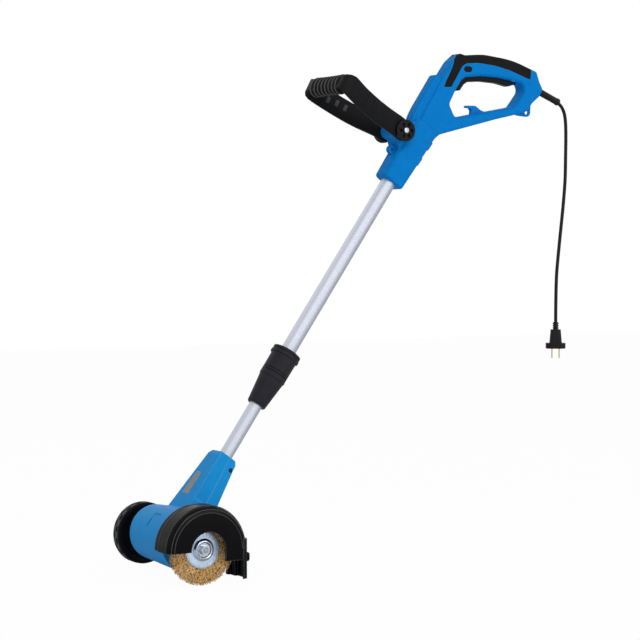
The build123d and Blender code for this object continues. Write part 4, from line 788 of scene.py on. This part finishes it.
# Motor housing. Front and rear halves of a tapered barrel with a faceted neck, moulded in the same
# blue plastic and screwed together behind the tube. Their blue is set lighter than the shells' blue,
# and their edges paler, as painted highlight on the barrel and along the neck's ridges. A black disc
# on each side of the neck stands in for the shade inside a screw hole there: painted shade.
blue_housing_painted_light = moulding(
    "blue_housing_painted_light", (26, 150, 219), (18, 140, 209), (120, 194, 240),
    roughness=0.4, grain=1500, height=0.010, gloss=0.05, edge=1.2, edge_wear_highlight_gain=14.0,
)
dressed("motor_housing_front", "head", blue_housing_painted_light)
dressed("motor_housing_rear", "head", blue_housing_painted_light)
dressed("neck_screws", "head", screw_zinc)
tube_back = Vector((0, cos(tube_lean), -sin(tube_lean)))
neck_pan_along = 141
neck_pan_behind = 7.1
neck_pan_foot = axle_place + tube_way * neck_pan_along * mm + tube_back * neck_pan_behind * mm
neck_pan_x = 14.4 * mm
neck_pan_r = 3.1 * mm
neck_pan_height = 1.2 * mm
# A black disc with a cross recess on each side of the neck stands in for the shade inside a screw
# hole: painted shade.
hole_shade_x, hole_shade_y, hole_shade_z = 19.75 * mm, -519.9 * mm, -661.7 * mm
hole_shade_r = 3.6 * mm
hole_shade_height = 0.9 * mm
hole_shade_proud = 0.35 * mm
for number, side in enumerate((1, -1)):
    pan_foot = neck_pan_foot + Vector((side * neck_pan_x, 0, 0))
    head = cross_head(pan_foot, tube_back, neck_pan_r, neck_pan_height)
    finished(head, "neck_screw_head_%d" % (number + 1), "head", screw_zinc)
    # The black disc here is painted shade for the screw hole.
    hole_shade_out = Vector((side * 0.99, 0.07, 0.1)).normalized()
    hole_shade_foot = Vector((side * hole_shade_x, hole_shade_y, hole_shade_z)) + hole_shade_out * hole_shade_proud
    plug = cross_head(hole_shade_foot, hole_shade_out, hole_shade_r, hole_shade_height)
    finished(plug, "neck_hole_shade_%d" % (number + 1), "head", black_nylon)

# Bare plate and mould line. A thin grey aluminium plate stuck on the front of the neck,
# without any print, and the fine L-shaped witness line that an insert left on the barrel.
plate_grey = moulding(
    "plate_grey", (124, 130, 134), (104, 110, 114), (190, 196, 200),
    roughness=0.42, grain=1200, height=0.004, gloss=0.4, metal=0.5,
)
plate_low = Vector((0, -588.6 * mm, -695.6 * mm))
plate_high = Vector((0, -562.7 * mm, -663.1 * mm))
plate_way = (plate_high - plate_low).normalized()
plate_out = Vector((1, 0, 0)).cross(plate_way).normalized()
plate_length = (plate_high - plate_low).length
plate_foot_width = 20 * mm
plate_head_width = 14 * mm
plate_thick = 1.0 * mm
plate_aside = 5 * mm
plate_corner = 1.6 * mm
plate_shape = bmesh.new()
bmesh.ops.create_cube(plate_shape, size=1)
for vert in plate_shape.verts:
    width = plate_foot_width if vert.co.y < 0 else plate_head_width
    vert.co = (vert.co.x * width - plate_aside, vert.co.y * plate_length, vert.co.z * plate_thick)
uprights = [e for e in plate_shape.edges if abs((e.verts[0].co - e.verts[1].co).z) > plate_thick / 2]
bmesh.ops.bevel(
    plate_shape, geom=uprights, offset=plate_corner, offset_type="OFFSET", segments=4, profile=0.5,
    affect="EDGES", material=-1,
)
plate_stand = Matrix((Vector((1, 0, 0)), plate_way, plate_out)).transposed().to_4x4()
plate_stand.translation = (plate_low + plate_high) / 2
bmesh.ops.transform(plate_shape, matrix=plate_stand, verts=plate_shape.verts)
soften(plate_shape, 40)
finished(plate_shape, "bare_plate", "head", plate_grey)


def swept(curve):
    """The mesh in the making of a curve that has a round section."""
    bundle = bpy.data.objects.new(curve.name + "_bundle", curve)
    shape = bmesh.new()
    shape.from_mesh(bpy.data.meshes.new_from_object(bundle))
    bpy.data.objects.remove(bundle)
    return shape


line_dark = moulding(
    "line_dark", (2, 44, 84), (1, 34, 68), (4, 60, 110),
    roughness=0.5, grain=1500, height=0.01, gloss=0.05,
)
witness_places = (
    (-10.9, -653.0, -743.4), (-9.0, -650.2, -737.5), (-7.8, -646.9, -732.9),
    (-7.5, -638.6, -724.8), (11.8, -639.6, -724.0),
)
line_curve = bpy.data.curves.new("mould_line", "CURVE")
line_curve.dimensions = "3D"
line_curve.bevel_depth = 0.55 * mm
line_curve.bevel_resolution = 2
line_curve.use_fill_caps = True
witness = line_curve.splines.new("POLY")
witness.points.add(len(witness_places) - 1)
for point, place in zip(witness.points, witness_places):
    point.co = (place[0] * mm, place[1] * mm, place[2] * mm, 1)
line_shape = swept(line_curve)
soften(line_shape, 60)
finished(line_shape, "mould_line", "head", line_dark)

# Motor. A laminated stator and armature with enamelled copper, carbon brushes in brass
# boxes, ball bearings at both ends and a white fan, all closed in by the barrel.
lamination_steel = moulding(
    "lamination_steel", (122, 124, 128), (96, 98, 102), (160, 162, 166),
    roughness=0.42, grain=500, height=0.02, gloss=0.5, metal=1.0, stretch=(8, 1, 1),
)
copper_enamel = moulding(
    "copper_enamel", (176, 96, 52), (148, 74, 38), (206, 132, 86),
    roughness=0.32, grain=900, height=0.02, gloss=0.5, metal=0.8,
)
carbon_block = moulding(
    "carbon_block", (44, 44, 46), (34, 34, 36), (70, 70, 72),
    roughness=0.7, grain=1500, height=0.02,
)
bearing_steel = moulding(
    "bearing_steel", (178, 182, 188), (150, 155, 162), (214, 217, 221),
    roughness=0.26, grain=1200, height=0.004, gloss=0.5, metal=1.0,
)
fan_nylon = moulding(
    "fan_nylon", (204, 203, 196), (186, 184, 176), (226, 225, 220),
    roughness=0.5, grain=1200, height=0.012,
)
for node, body, slot, material in (
    ("stator", "head", "lamination", lamination_steel),
    ("brush_holders", "head", "plug_brass", blade_brass),
    ("carbon_brushes", "head", "carbon", carbon_block),
    ("bearing_rear", "head", "steel", bearing_steel),
    ("bearing_front", "head", "steel", bearing_steel),
    ("motor_shaft", "rotor", "steel", bearing_steel),
    ("armature", "rotor", "lamination", lamination_steel),
    ("commutator", "rotor", "copper", copper_enamel),
    ("cooling_fan", "rotor", "white_nylon", fan_nylon),
):
    dressed(node, body, material)

# Gear train. A steel sun pinion on the rotor turns three nylon planets inside a fixed
# ring, and their carrier drives the output spindle six times slower.
gear_steel = moulding(
    "gear_steel", (148, 150, 154), (118, 120, 124), (190, 192, 196),
    roughness=0.38, grain=900, height=0.01, gloss=0.5, metal=1.0,
)
die_cast = moulding(
    "die_cast", (160, 163, 166), (136, 139, 143), (192, 194, 197),
    roughness=0.5, grain=700, height=0.03, gloss=0.5, metal=0.9,
)
for node, body, slot, material in (
    ("gear_plate", "head", "die_cast", die_cast),
    ("ring_gear", "head", "steel", gear_steel),
    ("sun_pinion", "rotor", "steel", gear_steel),
    ("planet_gear_a", "planet_a", "white_nylon", fan_nylon),
    ("planet_gear_b", "planet_b", "white_nylon", fan_nylon),
    ("planet_gear_c", "planet_c", "white_nylon", fan_nylon),
    ("planet_carrier", "brush", "steel", gear_steel),
    ("output_spindle", "brush", "steel", bearing_steel),
    ("bearing_output", "head", "steel", bearing_steel),
    ("gear_cover", "head", "die_cast", die_cast),
):
    dressed(node, body, material)

# Guard. A stepped hood moulded in glossy black plastic round the rear and top of the
# wire wheel, screwed on the gear cover, with a skirt in front.
# The hood's edges are painted pale grey through the edge mix: painted highlights along its steps.
guard_gloss = moulding(
    "guard_gloss", (7, 7, 9), (4, 4, 6), (120, 121, 124),
    roughness=0.22, grain=1300, height=0.006, gloss=0.08, edge=0.9, edge_wear_highlight_gain=9.0,
)
dressed("guard", "head", guard_gloss)
dressed("guard_screws", "head", screw_zinc)

# Guard beads. Narrow rounded ribs that the moulder ran round the hood at each step, to stiffen it,
# coloured a paler grey than the hood so that they show as painted highlights along the step edges.
# Each row gives a bead's place along the axle, its reach from the axle and its half thickness.
bead_painted_highlight = moulding(
    "bead_painted_highlight", (70, 69, 68), (34, 34, 35), (140, 140, 140),
    roughness=0.24, grain=260, height=0.006, gloss=0.2, edge=0.5,
)
bead_rows = (
    (64.2, 62.0, 0.7), (64.6, 65.9, 0.8), (80.3, 66.0, 0.7), (80.8, 68.9, 0.9),
    (105.0, 69.0, 0.6), (113.6, 63.6, 0.7), (115.0, 58.6, 0.6),
)
bead_shape = bmesh.new()
for x, reach, thick in bead_rows:
    bead = bmesh.ops.create_circle(bead_shape, segments=8, radius=thick * mm)["verts"]
    stand = Matrix.Translation((x * mm, axle_place.y - reach * mm, axle_place.z))
    bmesh.ops.transform(bead_shape, matrix=stand, verts=bead)
    bead_edges = list({e for v in bead for e in v.link_edges})
    bmesh.ops.spin(
        bead_shape, geom=bead + bead_edges, cent=axle_place, axis=(1, 0, 0),
        angle=-pi, steps=48, use_merge=False,
    )
bmesh.ops.holes_fill(bead_shape, edges=bead_shape.edges, sides=8)
bmesh.ops.recalc_face_normals(bead_shape, faces=bead_shape.faces)
soften(bead_shape, 60)
finished(bead_shape, "guard_beads", "head", bead_painted_highlight)

# Wire brush. More than a thousand crimped, brass-coated steel wires pressed between the
# plates, zig-zag from end to end and worn to uneven lengths at the rim, on a packed mass.
chance = random.Random(7)
wire_low, wire_high = (end.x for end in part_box("brush_wires"))
wire_middle = (wire_low + wire_high) / 2
wire_half = (wire_high - wire_low) / 2
wire_count = 1350
wire_steps = 16
wire_r = 0.32 * mm
wire_rim = 56 * mm
wire_root = 24 * mm
wire_worn = 1.3
wire_waves = (0.5, 1.0)
wire_root_shares = (0.5, 0.85)
wire_lean = 0.22
wire_lean_most = 0.9
wire_stray = 0.03
crimp_turn = 2.4
wire_curve = bpy.data.curves.new("crimped_wires", "CURVE")
wire_curve.dimensions = "3D"
wire_curve.bevel_depth = wire_r
wire_curve.bevel_resolution = 0
for number in range(wire_count):
    tip = wire_rim - abs(chance.gauss(0, wire_worn)) * mm
    phase = chance.uniform(0, 2 * pi)
    wave = chance.uniform(*wire_waves) * mm
    root_x = chance.choice((-1, 1)) * chance.uniform(*wire_root_shares) * wire_half
    lean = root_x / wire_half + chance.gauss(0, wire_lean)
    tip_x = max(-wire_lean_most, min(wire_lean_most, lean)) * wire_half
    stray = chance.gauss(0, wire_stray)
    around = Matrix.Rotation(chance.uniform(0, 2 * pi), 3, "X")
    strand = wire_curve.splines.new("POLY")
    strand.points.add(wire_steps)
    for step, point in enumerate(strand.points):
        along = step / wire_steps
        reach = wire_root + (tip - wire_root) * along
        x = root_x + (tip_x - root_x) * along + wave * 0.5 * cos(phase + step * crimp_turn)
        y = wave * (1 if step % 2 else -1) + stray * (reach - wire_root) * along
        place = around @ Vector((max(-wire_half, min(wire_half, x)), y, reach))
        point.co = (place.x + wire_middle, place.y + axle_place.y, place.z + axle_place.z, 1)
wire_shape = swept(wire_curve)
for face in wire_shape.faces:
    face.smooth = True
brass_coat = moulding(
    "brass_coat", (212, 168, 108), (138, 78, 28), (250, 226, 186),
    roughness=0.45, grain=7600, height=0.002, gloss=0.3, edge=0.1,
)


def sharper_cloud(material, low, high):
    """Narrows the cloud that shades a finish, so that it turns into separate grains."""
    tree = material.node_tree
    contrast = new_node(tree, "MapRange")
    contrast.inputs["From Min"].default_value = low
    contrast.inputs["From Max"].default_value = high
    join(
        tree,
        (tree.nodes["grain"].outputs["Cloud"], contrast.inputs["Value"]),
        (contrast.outputs["Result"], tree.nodes["tone"].inputs[0]),
    )


sharper_cloud(brass_coat, 0.38, 0.54)
tree = brass_coat.node_tree
# Each wire takes a tone from this ramp at random; its palest stop paints some wires almost white, as
# painted glints.
strand_tone = new_node(tree, "NewGeometry")
strand_tone_glint_ramp = new_node(tree, "ValToRGB")
strand_tone_glint_ramp.color_ramp.elements[0].color = paint(246, 176, 88)
strand_tone_glint_ramp.color_ramp.elements[1].color = paint(255, 240, 214)
strand_tone_glint_ramp.color_ramp.elements.new(0.35).color = paint(255, 212, 126)
strand_tone_glint_ramp.color_ramp.elements.new(0.75).color = paint(255, 232, 168)
join(
    tree,
    (strand_tone.outputs["Random Per Island"], strand_tone_glint_ramp.inputs["Fac"]),
    (strand_tone_glint_ramp.outputs["Color"], tree.nodes["tone"].inputs[mix_b]),
)
finished(wire_shape, "crimped_wires", "brush", brass_coat, ("brush_wires",))

core_profile = (
    (-3.0, 23.5), (-3.4, 30.0), (-2.8, 50.0), (-1.6, 52.6),
    (1.6, 52.6), (2.8, 50.0), (3.4, 30.0), (3.0, 23.5),
)
core_shape = bmesh.new()
outline(core_shape, [
    (wire_middle + x * mm, axle_place.y, axle_place.z + reach * mm) for x, reach in core_profile
], closed=True)
turned(core_shape, axle_place, (1, 0, 0), 96)
soften(core_shape, 40)
core_coat = moulding(
    "core_coat", (255, 212, 130), (138, 80, 32), (250, 226, 186),
    roughness=0.5, grain=8200, height=0.02, gloss=0.2, edge=0.1,
)
sharper_cloud(core_coat, 0.38, 0.56)
finished(core_shape, "packed_wires", "brush", core_coat)

# Brush plates, clamp flange and nut. Pressed steel discs crimped over the wires' roots,
# a bright dished flange that clamps them, and a hexagon nut on the threaded spindle.
plate_steel = moulding(
    "plate_steel", (208, 226, 246), (186, 204, 226), (232, 240, 250),
    roughness=0.38, grain=700, height=0.01, gloss=0.5, metal=0.6,
)
flange_bright = moulding(
    "flange_bright", (200, 212, 226), (180, 193, 208), (240, 244, 248),
    roughness=0.24, grain=900, height=0.004, gloss=0.5, metal=1.0,
)
dressed("brush_plate_rear", "brush", plate_steel)
dressed("brush_plate_front", "brush", plate_steel)
dressed("clamp_flange", "brush", flange_bright)
dressed("spindle_nut", "brush", screw_zinc)

# Guide wheel. A dished black nylon hub on a steel stub axle with a push-on cap, and a
# solid rubber tyre with two rows of tread pits, grey with dust where it runs.
tyre_rubber = moulding(
    "tyre_rubber", (20, 20, 21), (12, 12, 13), (60, 58, 56),
    roughness=0.7, grain=1100, height=0.05, gloss=0.06,
)
dust_start = 48.9 * mm
dust_full = 49.7 * mm
tree = tyre_rubber.node_tree
where = new_node(tree, "TexCoord")
from_axle = new_node(tree, "VectorMath", "SUBTRACT")
from_axle.inputs[1].default_value = (0, axle_place.y, axle_place.z)
across = new_node(tree, "VectorMath", "MULTIPLY")
across.inputs[1].default_value = (0, 1, 1)
radius = new_node(tree, "VectorMath", "LENGTH")
run_in = new_node(tree, "MapRange")
run_in.inputs["From Min"].default_value = dust_start
run_in.inputs["From Max"].default_value = dust_full
dusty = new_node(tree, "Mix")
dusty.data_type = "RGBA"
dusty.inputs[mix_b].default_value = paint(84, 82, 79)
join(
    tree,
    (where.outputs["Object"], from_axle.inputs[0]),
    (from_axle.outputs[0], across.inputs[0]),
    (across.outputs[0], radius.inputs[0]),
    (radius.outputs["Value"], run_in.inputs["Value"]),
    (run_in.outputs["Result"], dusty.inputs[0]),
    (tree.nodes["edge_wear_highlight"].outputs[mixed], dusty.inputs[mix_a]),
    (dusty.outputs[mixed], tree.nodes["Principled BSDF"].inputs["Base Color"]),
)
dressed("wheel_axle", "head", bearing_steel)
dressed("wheel_hub", "wheel", black_nylon)
dressed("tyre", "wheel", tyre_rubber, 28)
dressed("wheel_cap", "head", black_nylon)
